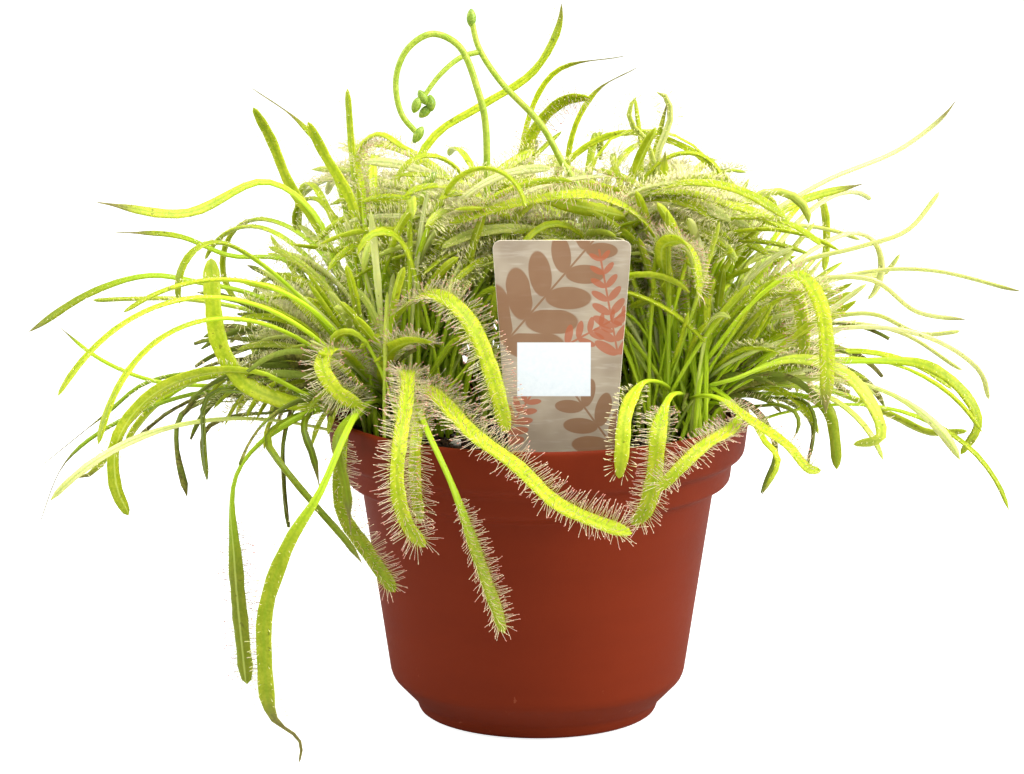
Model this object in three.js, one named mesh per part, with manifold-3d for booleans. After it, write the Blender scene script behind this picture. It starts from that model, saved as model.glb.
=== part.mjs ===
// A cape sundew (Drosera capensis) in a plastic nursery pot, in millimetres, +Z up.
// The origin is the centre of the pot's underside, and -Y is the side that the label faces.
import * as THREE from 'three';
import { mergeVertices } from 'three/addons/utils/BufferGeometryUtils.js';
import Module from 'manifold-3d';

const wasm = await Module();
wasm.setup();

// ---------- driving dimensions
const GAP = 0.3;
const POT_SIDES = 36;
const POT_HEIGHT = 66;
const RIM_RADIUS = 45;
const FLOOR_THICKNESS = 1.5;
const DRAIN_HOLES = 6;
const DRAIN_RADIUS = 2.5;
const DRAIN_CIRCLE = 17;
const SOIL_LEVEL = 60.5;
const SOIL_LUMP = 1.1;
const STEM_RADIUS = 4;
const STEM_FOOT = 50;
const STALK_RADIUS = 0.85;
const BRANCH_RADIUS = 0.55;
const SMALL_STALK_RADIUS = 0.7;
const STALK_FOOT = 52;
const STALK_ROOM = 0.45;
const BUD_RADIUS = 1.1;
const LABEL_THICKNESS = 0.7;
const LABEL_LEAN = 6;
const LABEL_CENTRE_X = 4.7;
const LABEL_RIM_Y = -30.2;
const LABEL_TOP = 106.5;
const LABEL_TIP = 44;
const LABEL_TIP_HALF_WIDTH = 3;
const LABEL_SHOULDER = 51;
const LABEL_PIVOT_Z = 63;
const LABEL_TOP_WIDTH = 28.6;
const LABEL_RIM_WIDTH = 21.8;
const LABEL_CORNER = 2.4;
const PETIOLE_WIDTH = 2;
const LEAF_THICKNESS = 1.2;
const TIP_LENGTH = 5;
const WITHERED_WIDTH = 2.2;
const WITHERED_THICKNESS = 1;
const LOWEST_OVER_SOIL = 65;
const LOWEST_OVER_RIM = 69.5;
const LOWEST_OUTSIDE = 8;
const DOME_HALF_WIDTH = 102;
const DOME_HEIGHT = 62;
// Where a leaf is rooted: how far out from the crown's axis and how far above its base.
const LEAF_ROOT = { out: 2, up: 2 };
const WITHERED_ROOT = { out: 3, up: -2.1 };

// ---------- how the leaves grow
const PATH_STEPS = 36;
const SPAN_STEPS = 12;
const GOLDEN_ANGLE = degrees(137.5);
const LEAF_SECTIONS = 9;
const EXTRA_SECTIONS = 7;
const WITHERED_SECTIONS = 6;
const OTHER_PLANT_GAP = 4.4;
const CANDIDATES = 40;
const MOST_TURNS = 60;
const EXTRA_LEAF = { petiole: 0.4, twist: 0, width: 4 };

// ---------- leaves and stalks placed by hand: points after the root, in mm
const LEFT_LEAVES = [
  // broad leaf that curls up with its smooth back outward
  { petiole: 0.16, twist: 92, width: 4.8, at: [
    [-40.5, -15, 70], [-51, -22, 71.5], [-60.5, -26, 76.5], [-65.5, -26, 84.5], [-67, -24, 93.5],
    [-67.5, -20, 101.5]
  ] },
  // long wavy leaf
  { petiole: 0.48, twist: 20, width: 4.2, at: [
    [-41, 2, 89], [-47, 4, 106.5], [-57.5, 3, 114], [-74, -2, 108], [-92.5, -6, 111]
  ] },
  // narrow level leaf
  { petiole: 0.5, twist: 0, width: 3, at: [
    [-43.5, 8, 81], [-53, 10, 95.5], [-66, 10, 97], [-76.5, 8, 101.5], [-90, 4, 103]
  ] },
  // leaf drooping at its end
  { petiole: 0.5, twist: 35, width: 4.2, at: [
    [-45, -4, 80], [-58, -8, 91], [-70.5, -12, 95], [-81, -12, 96.5], [-93, -12, 93],
    [-106.5, -12, 84.5]
  ] },
  // level leaf under it
  { petiole: 0.5, twist: 0, width: 3.4, at: [
    [-43, 4, 78.5], [-59, 2, 86], [-74, 2, 89], [-86.5, 0, 89.5], [-94, -2, 89.5]
  ] },
  // thin stalk bending up
  { petiole: 0.92, twist: 0, width: 2.4, at: [
    [-48, -6, 71], [-64.5, -12, 73], [-80, -14, 74.5], [-91.5, -13, 79], [-100.5, -12, 86]
  ] },
  // upright leaf
  { petiole: 0.45, twist: 60, width: 4.2, at: [
    [-40.5, 8, 90], [-47, 12, 103], [-53, 14, 111.5], [-57, 14, 121.5], [-60.5, 12, 128.5]
  ] },
  // dry upright leaf
  { petiole: 0.6, twist: 0, width: 2.4, at: [
    [-38.5, 16, 95], [-44.5, 20, 115], [-51, 18, 124.5], [-61, 14, 132.5]
  ] },
  // upright leaf
  { petiole: 0.45, twist: 60, width: 4, at: [
    [-36, -2, 94], [-39.5, 2, 110], [-45, 4, 119.5], [-48.5, 4, 126.5]
  ] },
  // upright leaf at the back
  { petiole: 0.55, twist: 60, width: 3.6, at: [
    [-35.5, 20, 90], [-39.5, 24, 111], [-41, 24, 131]
  ] },
  // leaf with a bent head
  { petiole: 0.6, twist: 40, width: 4.2, at: [
    [-35.5, -8, 90.5], [-36.5, -8, 113], [-37.5, -9, 122], [-33, -11, 126], [-27, -14, 123]
  ] },
  // long leaf that crosses above the label
  { petiole: 0.42, twist: 0, width: 4, at: [
    [-30.5, 4, 88.5], [-28, 12, 111], [-22, 16, 122], [-12.5, 17, 128], [-1, 17, 135.5],
    [4.5, 15, 145.5], [5, 14, 150.5]
  ] },
  // drooping leaf, far left
  { petiole: 0.34, twist: 20, width: 4.4, at: [
    [-45.5, -18, 71.5], [-58.5, -26, 79], [-70.5, -28, 79], [-80.5, -28, 74], [-87, -28, 65],
    [-87.5, -27, 55], [-85, -26, 48.5]
  ] },
  // thin stalk, far left
  { petiole: 0.9, twist: 0, width: 2.2, at: [
    [-45.5, 8, 69], [-63.5, 5, 72.5], [-82.5, -2, 72], [-92, -4, 65], [-106.5, -6, 53.5]
  ] },
  // thin drooping stalk, far left
  { petiole: 0.9, twist: 0, width: 2.2, at: [
    [-45.5, -10, 70.5], [-53, -13, 71.5], [-70.5, -16, 72.5], [-88.5, -20, 66.5],
    [-98.5, -20, 58.5], [-105, -18, 43.5]
  ] },
  // old leaf hanging beside the pot
  { petiole: 0.3, twist: 30, width: 3.4, at: [
    [-40.5, -17, 70], [-49, -26, 69.5], [-58, -30, 64], [-62.5, -31, 57], [-62.5, -32, 40.5],
    [-60.5, -32, 14]
  ] },
  // old leaf against the rim
  { petiole: 0.4, twist: 0, width: 2.6, at: [
    [-37, -26, 71], [-41, -40, 67.5], [-39, -45, 58.5], [-38, -46, 49]
  ] },
  // longest hanging leaf
  { petiole: 0.3, twist: 25, width: 3.6, at: [
    [-36.5, -25, 71], [-39, -41, 69.5], [-44.5, -49, 58], [-50, -51, 49.5], [-55, -52, 36],
    [-55.5, -52, 25.5], [-54, -51, 12.5], [-48.5, -50, 7], [-49, -49, 2]
  ] },
  // leaf hanging past the rim
  { petiole: 0.35, twist: 30, width: 4.2, at: [
    [-36.5, -19, 69], [-40, -32, 66], [-40, -38, 52], [-35.5, -38, 44.5], [-29.5, -37, 35]
  ] },
  // leaf down the front
  { petiole: 0.56, twist: 20, width: 4.2, at: [
    [-26, -24, 72.5], [-22, -46, 69.5], [-17.5, -50, 60.5], [-14, -50, 50.5], [-10.5, -49, 40],
    [-7, -47, 29]
  ] },
  // curled leaf down the front
  { petiole: 0.1, twist: 0, width: 4.2, at: [
    [-29.5, -14, 72], [-27, -26, 79], [-27, -38, 74.5], [-28, -47, 69], [-28.5, -51, 60.5],
    [-26.5, -51, 52.5], [-23, -49, 47.5]
  ] },
  // short leaf behind it
  { petiole: 0.14, twist: 0, width: 3.6, at: [
    [-28, -18, 72.5], [-24.5, -34, 72], [-25, -46, 67.5], [-25, -46, 59.5], [-24, -45, 51.5]
  ] },
  // big leaf across the front
  { petiole: 0.1, twist: 0, width: 4.4, at: [
    [-28, -16, 73.5], [-22.5, -28, 75.5], [-12.5, -46, 69.5], [-4.5, -50, 64.5], [3.5, -53, 57.5],
    [12.5, -54, 53.5], [18.5, -54, 51.5]
  ] },
  // arch before the label
  { petiole: 0.16, twist: 20, width: 4.4, at: [
    [-34.5, -8, 77.5], [-31.5, -13, 85], [-26.5, -20, 92.5], [-21.5, -25, 95], [-16.5, -30, 93],
    [-12.5, -34, 88], [-9, -38, 79], [-6.5, -40, 69]
  ] },
  // small arch
  { petiole: 0.2, twist: 0, width: 4.2, at: [
    [-32, -14, 75], [-31, -20, 82], [-26.5, -26, 85.5], [-22, -30, 86]
  ] },
  // short curling leaf
  { petiole: 0.25, twist: 0, width: 4.2, at: [
    [-37, -14, 77], [-42.5, -22, 83], [-44.5, -28, 80.5], [-41, -31, 75.5], [-36, -31, 72.5]
  ] },
  // leaf across the middle
  { petiole: 0.36, twist: 0, width: 4.2, at: [
    [-29.5, 9, 87.5], [-23, 4, 104], [-8, 4, 112], [9, 5, 112.5], [21, 4, 110]
  ] },
];
const RIGHT_LEAVES = [
  // long upper leaf
  { petiole: 0.55, twist: 20, width: 4, at: [
    [35.5, 2, 82.5], [42.5, 4, 101], [59.5, 6, 113], [76.5, 6, 120.5], [85.5, 4, 128],
    [88, 3, 131.5]
  ] },
  // leaf behind it
  { petiole: 0.6, twist: 0, width: 3.6, at: [
    [37, 14, 84.5], [46.5, 18, 100], [56.5, 20, 107], [70.5, 20, 111]
  ] },
  // wavy leaf
  { petiole: 0.45, twist: 20, width: 4, at: [
    [37, -6, 82.5], [53.5, -8, 98], [67, -8, 102], [77, -8, 105.5], [83.5, -8, 113.5]
  ] },
  // long level leaf
  { petiole: 0.5, twist: 20, width: 3.8, at: [
    [39.5, 10, 76.5], [56.5, 14, 88.5], [71.5, 14, 93], [85, 12, 93.5], [103.5, 8, 89.5]
  ] },
  // leaf with a raised tip
  { petiole: 0.45, twist: 0, width: 3.6, at: [
    [41.5, 20, 75.5], [57.5, 26, 86.5], [68, 27, 89.5], [75.5, 27, 90], [79, 26, 94.5]
  ] },
  // drooping leaf
  { petiole: 0.42, twist: 20, width: 4, at: [
    [38.5, -14, 82], [55, -18, 96], [69, -20, 97], [78, -20, 90.5], [88.5, -19, 88.5]
  ] },
  // level leaf
  { petiole: 0.42, twist: 20, width: 4, at: [
    [42, 2, 77.5], [62, 2, 85], [71.5, 1, 86], [81, 0, 82], [89.5, 0, 82.5]
  ] },
  // leaf bending down
  { petiole: 0.5, twist: 20, width: 3.6, at: [
    [44, 22, 72], [61, 26, 79], [78.5, 24, 78], [92.5, 20, 70]
  ] },
  // leaf bending down
  { petiole: 0.45, twist: 20, width: 4, at: [
    [42, -20, 81], [64, -27, 88.5], [80, -28, 86.5], [90.5, -28, 79.5], [92.5, -28, 73.5]
  ] },
  // long hooked leaf
  { petiole: 0.3, twist: 30, width: 4.2, at: [
    [43.5, -10, 74.5], [56.5, -14, 78], [70, -15, 79], [81, -15, 78], [89, -15, 72],
    [92, -15, 65.5], [88.5, -15, 59]
  ] },
  // low leaf
  { petiole: 0.42, twist: 30, width: 4.2, at: [
    [44, 8, 69.5], [61, 10, 68], [76.5, 10, 62], [84.5, 9, 58.5], [92.5, 8, 59]
  ] },
  // hooked leaf
  { petiole: 0.34, twist: 30, width: 4.2, at: [
    [40.5, -26, 77.5], [52, -33, 83], [61.5, -36, 81], [67.5, -37, 74.5], [69.5, -37, 67.5],
    [64, -37, 66]
  ] },
  // drooping hairy leaf
  { petiole: 0.34, twist: 30, width: 4.2, at: [
    [36.5, -20, 82.5], [46, -30, 96.5], [52.5, -36, 101], [56.5, -39, 96], [58, -40, 87],
    [58, -40, 73]
  ] },
  // leaf beside it
  { petiole: 0.4, twist: 20, width: 4, at: [
    [38.5, -10, 84.5], [47, -18, 96], [51.5, -24, 97.5], [54, -28, 90], [54, -29, 80]
  ] },
  // leaf over the rim
  { petiole: 0.12, twist: 0, width: 4.2, at: [
    [33, -20, 72.5], [37, -32, 74.5], [43, -42, 72], [50, -44, 67.5], [54.5, -44, 62.5],
    [57, -43, 62]
  ] },
  // leaf turning back over the rim
  { petiole: 0.1, twist: 0, width: 4.2, at: [
    [34.5, -16, 74], [41, -29, 71.5], [39, -40, 70], [33, -49, 68.5], [28.5, -52, 65],
    [23.5, -53, 60]
  ] },
  // leaf hanging over the rim
  { petiole: 0.08, twist: 0, width: 4.4, at: [
    [29, -24, 74], [26.5, -34, 75], [24, -46, 71], [23, -49, 61.5], [21, -49, 54.5], [18.5, -48, 52]
  ] },
  // leaf beside the label
  { petiole: 0.14, twist: 0, width: 4.2, at: [
    [26, -20, 75], [21.5, -30, 77.5], [17.5, -43, 74], [16.5, -48, 66], [16, -48, 61.5]
  ] },
  // upright stalk
  { petiole: 0.8, twist: 0, width: 3.2, at: [
    [28, 6, 88], [26.5, 9, 107], [27, 8, 120]
  ] },
  // leaf across the middle
  { petiole: 0.36, twist: 0, width: 4.2, at: [
    [27, -10, 91], [23, -14, 107], [12.5, -17, 114], [-2, -19, 113.5], [-18.5, -20, 109]
  ] },
  // leaf beside the label top
  { petiole: 0.34, twist: 0, width: 4.2, at: [
    [28, -14, 89.5], [25.5, -22, 104.5], [29.5, -28, 106.5], [32, -32, 103], [32.5, -34, 95.5]
  ] },
];
const BACK_LEAVES = [
  // leaf with a bent head
  { petiole: 0.48, twist: 0, width: 4, at: [
    [1.5, 26, 77.5], [-3.5, 34, 102], [-3.5, 34, 114], [1.5, 34, 123.5], [6.5, 33, 127.5],
    [11.5, 32, 128]
  ] },
  // arching leaf
  { petiole: 0.42, twist: 0, width: 4, at: [
    [5, 24, 84.5], [2, 26, 107.5], [10, 28, 117.5], [20, 28, 121], [33, 26, 117.5], [44.5, 24, 108]
  ] },
  // upright leaf
  { petiole: 0.5, twist: 60, width: 4.2, at: [
    [12.5, 12, 87], [17.5, 14, 105], [22, 12, 118.5], [25, 10, 124.5]
  ] },
  // upright leaf
  { petiole: 0.5, twist: 60, width: 4, at: [
    [16, 26, 84.5], [22.5, 28, 112.5], [21, 24, 129]
  ] },
  // upright leaf
  { petiole: 0.5, twist: 60, width: 4, at: [
    [16, 20, 85.5], [24.5, 20, 115], [28, 18, 130]
  ] },
  // thin back leaf
  { petiole: 0.5, twist: 0, width: 3.4, at: [
    [2, 34, 83], [-3.5, 42, 113], [3.5, 42, 132], [19.5, 38, 136.5]
  ] },
  // thin back leaf
  { petiole: 0.5, twist: 0, width: 3.4, at: [
    [9.5, 30, 83.5], [7, 36, 116], [12.5, 36, 128.5], [22, 34, 134.5]
  ] },
  // leaf across the middle
  { petiole: 0.34, twist: 0, width: 4.2, at: [
    [0.5, 4, 88.5], [-6, -8, 105], [-2, -12, 113], [8.5, -12, 111], [18, -10, 108.5]
  ] },
];
const LEFT_WITHERED = [
  { at: [
    [-45.5, 0, 69], [-54, 1, 68.5], [-68.5, 0, 68], [-76, 0, 64], [-77, 0, 57.5], [-75, 0, 46.5]
  ] },
  { at: [
    [-45.5, -5, 68], [-53.5, -7, 66.5], [-64, -8, 65.5], [-70, -8, 62.5], [-70, -8, 52]
  ] },
  { at: [
    [-45.5, 15, 68], [-55, 17, 65.5], [-70, 17, 65.5], [-79.5, 17, 61.5], [-87.5, 17, 55]
  ] },
  { at: [
    [-45.5, 20, 67.5], [-52.5, 22, 63], [-55.5, 22, 54], [-55.5, 22, 45], [-54.5, 21, 34.5]
  ] },
];
const RIGHT_WITHERED = [
  { at: [
    [43.5, 15, 67.5], [57, 17, 67.5], [64, 17, 61.5], [65, 17, 49]
  ] },
  { at: [
    [42.5, -4, 69.5], [53.5, -4, 67.5], [58, -4, 63], [57, -4, 53]
  ] },
  { at: [
    [41.5, -17, 71], [47, -25, 67.5], [49, -27, 62], [46, -27, 53.5]
  ] },
  { at: [
    [43.5, 25, 66.5], [58, 30, 64], [69, 30, 63]
  ] },
];
const STALKS = [
  [
    [-11.5, -4, 63.5], [-11.5, -5, 83.5], [-11, -6, 105], [-11, -7, 127.5], [-12.5, -8, 134.5],
    [-16.5, -8, 144], [-22, -8, 146.5], [-27, -8, 143.5], [-29.5, -8, 137.5], [-28.5, -8, 130],
    [-25, -8, 125.5]
  ],
  [
    [8.5, -3, 64], [9.5, -3, 89.5], [9, -3, 112], [5, -3, 119], [0.5, -3, 127], [-8, -2, 136],
    [-12.5, -1, 143], [-14, -1, 149]
  ],
  [
    [-24, 4, 64], [-26.5, 1, 89], [-26.5, -3, 105.5], [-23, -3, 115]
  ],
];
const NODDING_BRANCH = [
  [-12, -1, 142], [-16, -2, 141], [-20.5, -4, 137.5], [-24, -6, 133]
];

// The three growing points of the clump, with their listed leaves. The rule adds matted leaves
// that arch inward over the middle of the pot, extra ones all round and dead ones at the foot.
const CROWNS = [
  {
    name: 'left', at: [-31, -6, 64], leaves: LEFT_LEAVES, withered: LEFT_WITHERED,
    seed: 11, matted: 6, inward: 10, extra: 30, dead: 6,
  },
  {
    name: 'right', at: [30, -8, 64], leaves: RIGHT_LEAVES, withered: RIGHT_WITHERED,
    seed: 23, matted: 6, inward: 170, extra: 31, dead: 6,
  },
  {
    name: 'back', at: [3, 13, 64], leaves: BACK_LEAVES, withered: [],
    seed: 37, matted: 14, inward: -90, extra: 28, dead: 9,
  },
];

// ---------- materials
function finish(color, roughness) {
  return new THREE.MeshStandardMaterial({ color, roughness, metalness: 0 });
}
const terracotta = finish(0x963e26, 0.55);
const peat = finish(0x33241a, 0.95);
const card = finish(0xb4a690, 0.6);
const leafGreen = finish(0x9cc02a, 0.5);
const deadBrown = finish(0x4a3a22, 0.85);
const stalkGreen = finish(0x8fb42c, 0.5);

// ---------- small helpers
function degrees(angle) {
  return angle * Math.PI / 180;
}

function vector(point) {
  return new THREE.Vector3(point[0], point[1], point[2]);
}

function clamp01(value) {
  return Math.min(1, Math.max(0, value));
}

function smooth(low, high, value) {
  const t = clamp01((value - low) / (high - low));
  return t * t * (3 - 2 * t);
}

// A linear congruential generator: the same seed always gives the same plant.
function randomSource(seed) {
  let state = seed >>> 0;
  return () => {
    state = (Math.imul(state, 1664525) + 1013904223) >>> 0;
    return state / 4294967296;
  };
}

function solidOf(geometry) {
  const bare = geometry.clone();
  bare.deleteAttribute('normal');
  bare.deleteAttribute('uv');
  const merged = mergeVertices(bare, 1e-5);
  return new wasm.Manifold(new wasm.Mesh({
    numProp: 3,
    vertProperties: new Float32Array(merged.attributes.position.array),
    triVerts: new Uint32Array(merged.index.array),
  }));
}

// Joins solids into one body: sealed hollows are filled and loose scraps dropped.
function largestBody(solid) {
  const bodies = solid.decompose();
  bodies.sort((a, b) => b.volume() - a.volume());
  return bodies[0];
}

function joined(solids) {
  return largestBody(wasm.Manifold.union(solids).simplify(0.02));
}

function geometryOf(solid) {
  const mesh = solid.getMesh();
  const geometry = new THREE.BufferGeometry();
  geometry.setAttribute('position', new THREE.BufferAttribute(mesh.vertProperties, 3));
  geometry.setIndex(new THREE.BufferAttribute(mesh.triVerts, 1));
  return geometry;
}

function named(name, geometry, material) {
  const mesh = new THREE.Mesh(geometry, material);
  mesh.name = name;
  return mesh;
}

function lathe(profile, sides) {
  const points = profile.map(([radius, z]) => new THREE.Vector2(radius, z));
  return new THREE.LatheGeometry(points, sides).rotateX(Math.PI / 2);
}

function upright(radius, bottom, top, sides, x, y) {
  const geometry = new THREE.CylinderGeometry(radius, radius, top - bottom, sides);
  geometry.rotateX(Math.PI / 2);
  geometry.translate(x, y, (top + bottom) / 2);
  return solidOf(geometry);
}

// ---------- the pot and the soil
// Half outlines as [radius, z]: foot, wall, two rim bands.
const POT_OUTSIDE = [
  [25.3, 0], [26.2, 2.5], [31, 7.5], [31.6, 9], [37.6, 49.5], [41, 51], [41.5, 55.5],
  [44, 57], [RIM_RADIUS, POT_HEIGHT - 0.7], [RIM_RADIUS - 0.3, POT_HEIGHT],
];
const POT_INSIDE = [
  [43.7, POT_HEIGHT], [42.8, 58], [40.3, 56.5], [39.8, 52], [36.4, 50.5], [30.4, 9.4],
  [29.9, 8], [25.2, 3.4], [24.6, FLOOR_THICKNESS],
];

function makePot() {
  const profile = [[0, 0], ...POT_OUTSIDE, ...POT_INSIDE, [0, FLOOR_THICKNESS]];
  let pot = solidOf(lathe(profile, POT_SIDES));
  for (let i = 0; i < DRAIN_HOLES; i += 1) {
    const angle = 2 * Math.PI * i / DRAIN_HOLES;
    const x = DRAIN_CIRCLE * Math.cos(angle);
    const y = DRAIN_CIRCLE * Math.sin(angle);
    pot = pot.subtract(upright(DRAIN_RADIUS, -1, FLOOR_THICKNESS + 1, 8, x, y));
  }
  return pot;
}

function soilHeight(x, y) {
  const wide = Math.sin(x * 0.21 + 1.3) * Math.cos(y * 0.17 - 0.4);
  const fine = Math.sin(x * 0.53 - y * 0.31) * Math.cos(y * 0.47 + x * 0.19);
  return SOIL_LEVEL + SOIL_LUMP * (wide + 0.7 * fine);
}

function makeSoil() {
  const fit = (radius) => radius - GAP;
  const side = [
    [0, FLOOR_THICKNESS + GAP], [fit(24.6), FLOOR_THICKNESS + GAP], [fit(25.2), 3.7], [fit(29.9), 8.3],
    [fit(30.4), 9.7], [fit(36.4), 50.8], [fit(39.8), 52.3], [fit(40.3), 56.8], [fit(42.8), 58.4],
  ];
  const top = [42.5, 37, 30, 22, 13, 0].map((radius) => [radius, SOIL_LEVEL]);
  const geometry = lathe([...side, ...top], POT_SIDES);
  const position = geometry.attributes.position;
  for (let i = 0; i < position.count; i += 1) {
    if (position.getZ(i) > SOIL_LEVEL - 0.01) {
      position.setZ(i, soilHeight(position.getX(i), position.getY(i)));
    }
  }
  return solidOf(geometry);
}

// ---------- the label
function labelShape(grow) {
  const slope = (LABEL_TOP_WIDTH - LABEL_RIM_WIDTH) / 2 / (LABEL_TOP - LABEL_PIVOT_Z);
  const half = (z) => LABEL_RIM_WIDTH / 2 + (z - LABEL_PIVOT_Z) * slope + grow;
  const top = LABEL_TOP + grow;
  const tip = LABEL_TIP_HALF_WIDTH + grow;
  const shape = new THREE.Shape();
  shape.moveTo(-tip, LABEL_TIP - grow);
  shape.lineTo(tip, LABEL_TIP - grow);
  shape.lineTo(half(LABEL_SHOULDER), LABEL_SHOULDER);
  shape.lineTo(half(top), top - LABEL_CORNER);
  shape.quadraticCurveTo(half(top), top, half(top) - LABEL_CORNER, top);
  shape.lineTo(-half(top) + LABEL_CORNER, top);
  shape.quadraticCurveTo(-half(top), top, -half(top), top - LABEL_CORNER);
  shape.lineTo(-half(LABEL_SHOULDER), LABEL_SHOULDER);
  shape.closePath();
  return shape;
}

// The card stands up from the xy plane and leans back about the line where it leaves the soil.
function labelSolid(grow) {
  const depth = LABEL_THICKNESS + 2 * grow;
  const settings = { depth, bevelEnabled: false, curveSegments: 4 };
  const geometry = new THREE.ExtrudeGeometry(labelShape(grow), settings);
  geometry.translate(0, -LABEL_PIVOT_Z, -depth / 2);
  geometry.rotateX(Math.PI / 2 - degrees(LABEL_LEAN));
  geometry.translate(LABEL_CENTRE_X, LABEL_RIM_Y, LABEL_PIVOT_Z);
  return solidOf(geometry);
}

// ---------- leaf paths
// Cuts a line of points into PATH_STEPS equal steps.
function evenSteps(points) {
  const run = [0];
  for (let i = 1; i < points.length; i += 1) {
    run.push(run[i - 1] + points[i].distanceTo(points[i - 1]));
  }
  const length = run[run.length - 1];
  const path = [];
  let span = 1;
  for (let k = 0; k <= PATH_STEPS; k += 1) {
    const want = length * k / PATH_STEPS;
    while (span < run.length - 1 && run[span] < want) {
      span += 1;
    }
    const share = clamp01((want - run[span - 1]) / (run[span] - run[span - 1]));
    path.push(points[span - 1].clone().lerp(points[span], share));
  }
  return { path, length };
}

// A listed leaf leaves its crown a little steeper than the straight way to its first point.
function listedPath(crown, rooted, listed) {
  const points = listed.map(vector);
  const outward = points[0].clone().sub(crown).setZ(0).normalize();
  const root = crown.clone().addScaledVector(outward, rooted.out).add(vector([0, 0, rooted.up]));
  const reach = points[0].clone().sub(root);
  const second = root.clone().addScaledVector(reach, 0.3);
  second.z += 0.14 * reach.length();
  const curve = new THREE.CatmullRomCurve3([root, second, ...points]);
  return evenSteps(curve.getPoints(SPAN_STEPS * (points.length + 1)));
}

// A leaf of the rule: it rises at the angle lift, falls over by droop, may curl at its tip and
// turns sideways by sway.
function rulePath(crown, rooted, heading, habit) {
  const start = new THREE.Vector3(Math.cos(heading), Math.sin(heading), 0);
  start.multiplyScalar(rooted.out).setZ(rooted.up);
  const path = [start.add(crown)];
  const step = habit.length / PATH_STEPS;
  for (let k = 0; k < PATH_STEPS; k += 1) {
    const u = (k + 0.5) / PATH_STEPS;
    const tip = Math.max(0, (u - 0.66) / 0.34);
    const rise = habit.lift - habit.droop * u ** 1.5 - habit.curl * tip ** 1.5;
    const way = heading + habit.sway * u ** 1.3;
    const next = path[k].clone();
    next.x += step * Math.cos(rise) * Math.cos(way);
    next.y += step * Math.cos(rise) * Math.sin(way);
    next.z += step * Math.sin(rise);
    path.push(next);
  }
  return { path, length: habit.length };
}

function drawLeaf(crown, index, count, random) {
  const age = (index + 0.5) / count;
  const heading = index * GOLDEN_ANGLE + (random() - 0.5) * 0.9;
  const lift = degrees(88 - 38 * age + 16 * (random() - 0.5));
  const droop = degrees(30 + 70 * age + 60 * (random() - 0.5));
  const sway = degrees(70 * (random() - 0.5));
  const curl = degrees(150) * Math.max(0, random() - 0.55) / 0.45;
  const length = 58 + 26 * age + 26 * random();
  return rulePath(crown, LEAF_ROOT, heading, { lift, droop, sway, curl, length });
}

function drawMatted(crown, inward, random) {
  const heading = degrees(inward + 200 * (random() - 0.5));
  const lift = degrees(80 + 12 * random());
  const droop = degrees(85 + 50 * random());
  const sway = degrees(120 * (random() - 0.5));
  const length = 72 + 22 * random();
  return rulePath(crown, LEAF_ROOT, heading, { lift, droop, sway, curl: 0, length });
}

function drawWithered(crown, index, random) {
  const heading = index * GOLDEN_ANGLE + 1.1 + (random() - 0.5) * 1.2;
  const lift = degrees(24 + 24 * random());
  const droop = degrees(60 + 70 * random());
  const sway = degrees(60 * (random() - 0.5));
  const length = 24 + 30 * random();
  return rulePath(crown, WITHERED_ROOT, heading, { lift, droop, sway, curl: 0, length });
}

// Inside the plant's dome, clear of the soil, the rim and the floor, and out of the room before
// the label and the pot.
function isAllowed(path) {
  return path.slice(5).every((p) => {
    const across = Math.hypot(p.x, p.y);
    let lowest = LOWEST_OUTSIDE;
    if (across < RIM_RADIUS + 3.5) {
      lowest = LOWEST_OVER_RIM;
    }
    if (across < RIM_RADIUS - 4.5) {
      lowest = LOWEST_OVER_SOIL;
    }
    const beforeLabel = p.y < -21 && p.z < LABEL_TOP + 5.5
      && Math.abs(p.x - LABEL_CENTRE_X) < LABEL_TOP_WIDTH / 2 + 4.2;
    const beforePot = p.y < -30 && Math.abs(p.x) < 50;
    const inDome = Math.hypot(p.x / DOME_HALF_WIDTH, (p.z - SOIL_LEVEL) / DOME_HEIGHT) < 1;
    return p.z >= lowest && inDome && !beforeLabel && !beforePot;
  });
}

function nearest(path, others) {
  let best = 99 * 99;
  for (const p of path) {
    for (const q of others) {
      best = Math.min(best, p.distanceToSquared(q));
    }
  }
  return Math.sqrt(best);
}

// Draws one leaf several times and keeps the draw with the most room round it.
function roomiest(draw, others, own) {
  let best = null;
  let bestRoom = -1;
  for (let attempt = 0; attempt < CANDIDATES; attempt += 1) {
    const leaf = draw();
    if (isAllowed(leaf.path) && nearest(leaf.path.slice(2), others) >= OTHER_PLANT_GAP) {
      const room = nearest(leaf.path.slice(9), own);
      if (room > bestRoom) {
        best = leaf;
        bestRoom = room;
      }
    }
  }
  return best;
}

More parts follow.
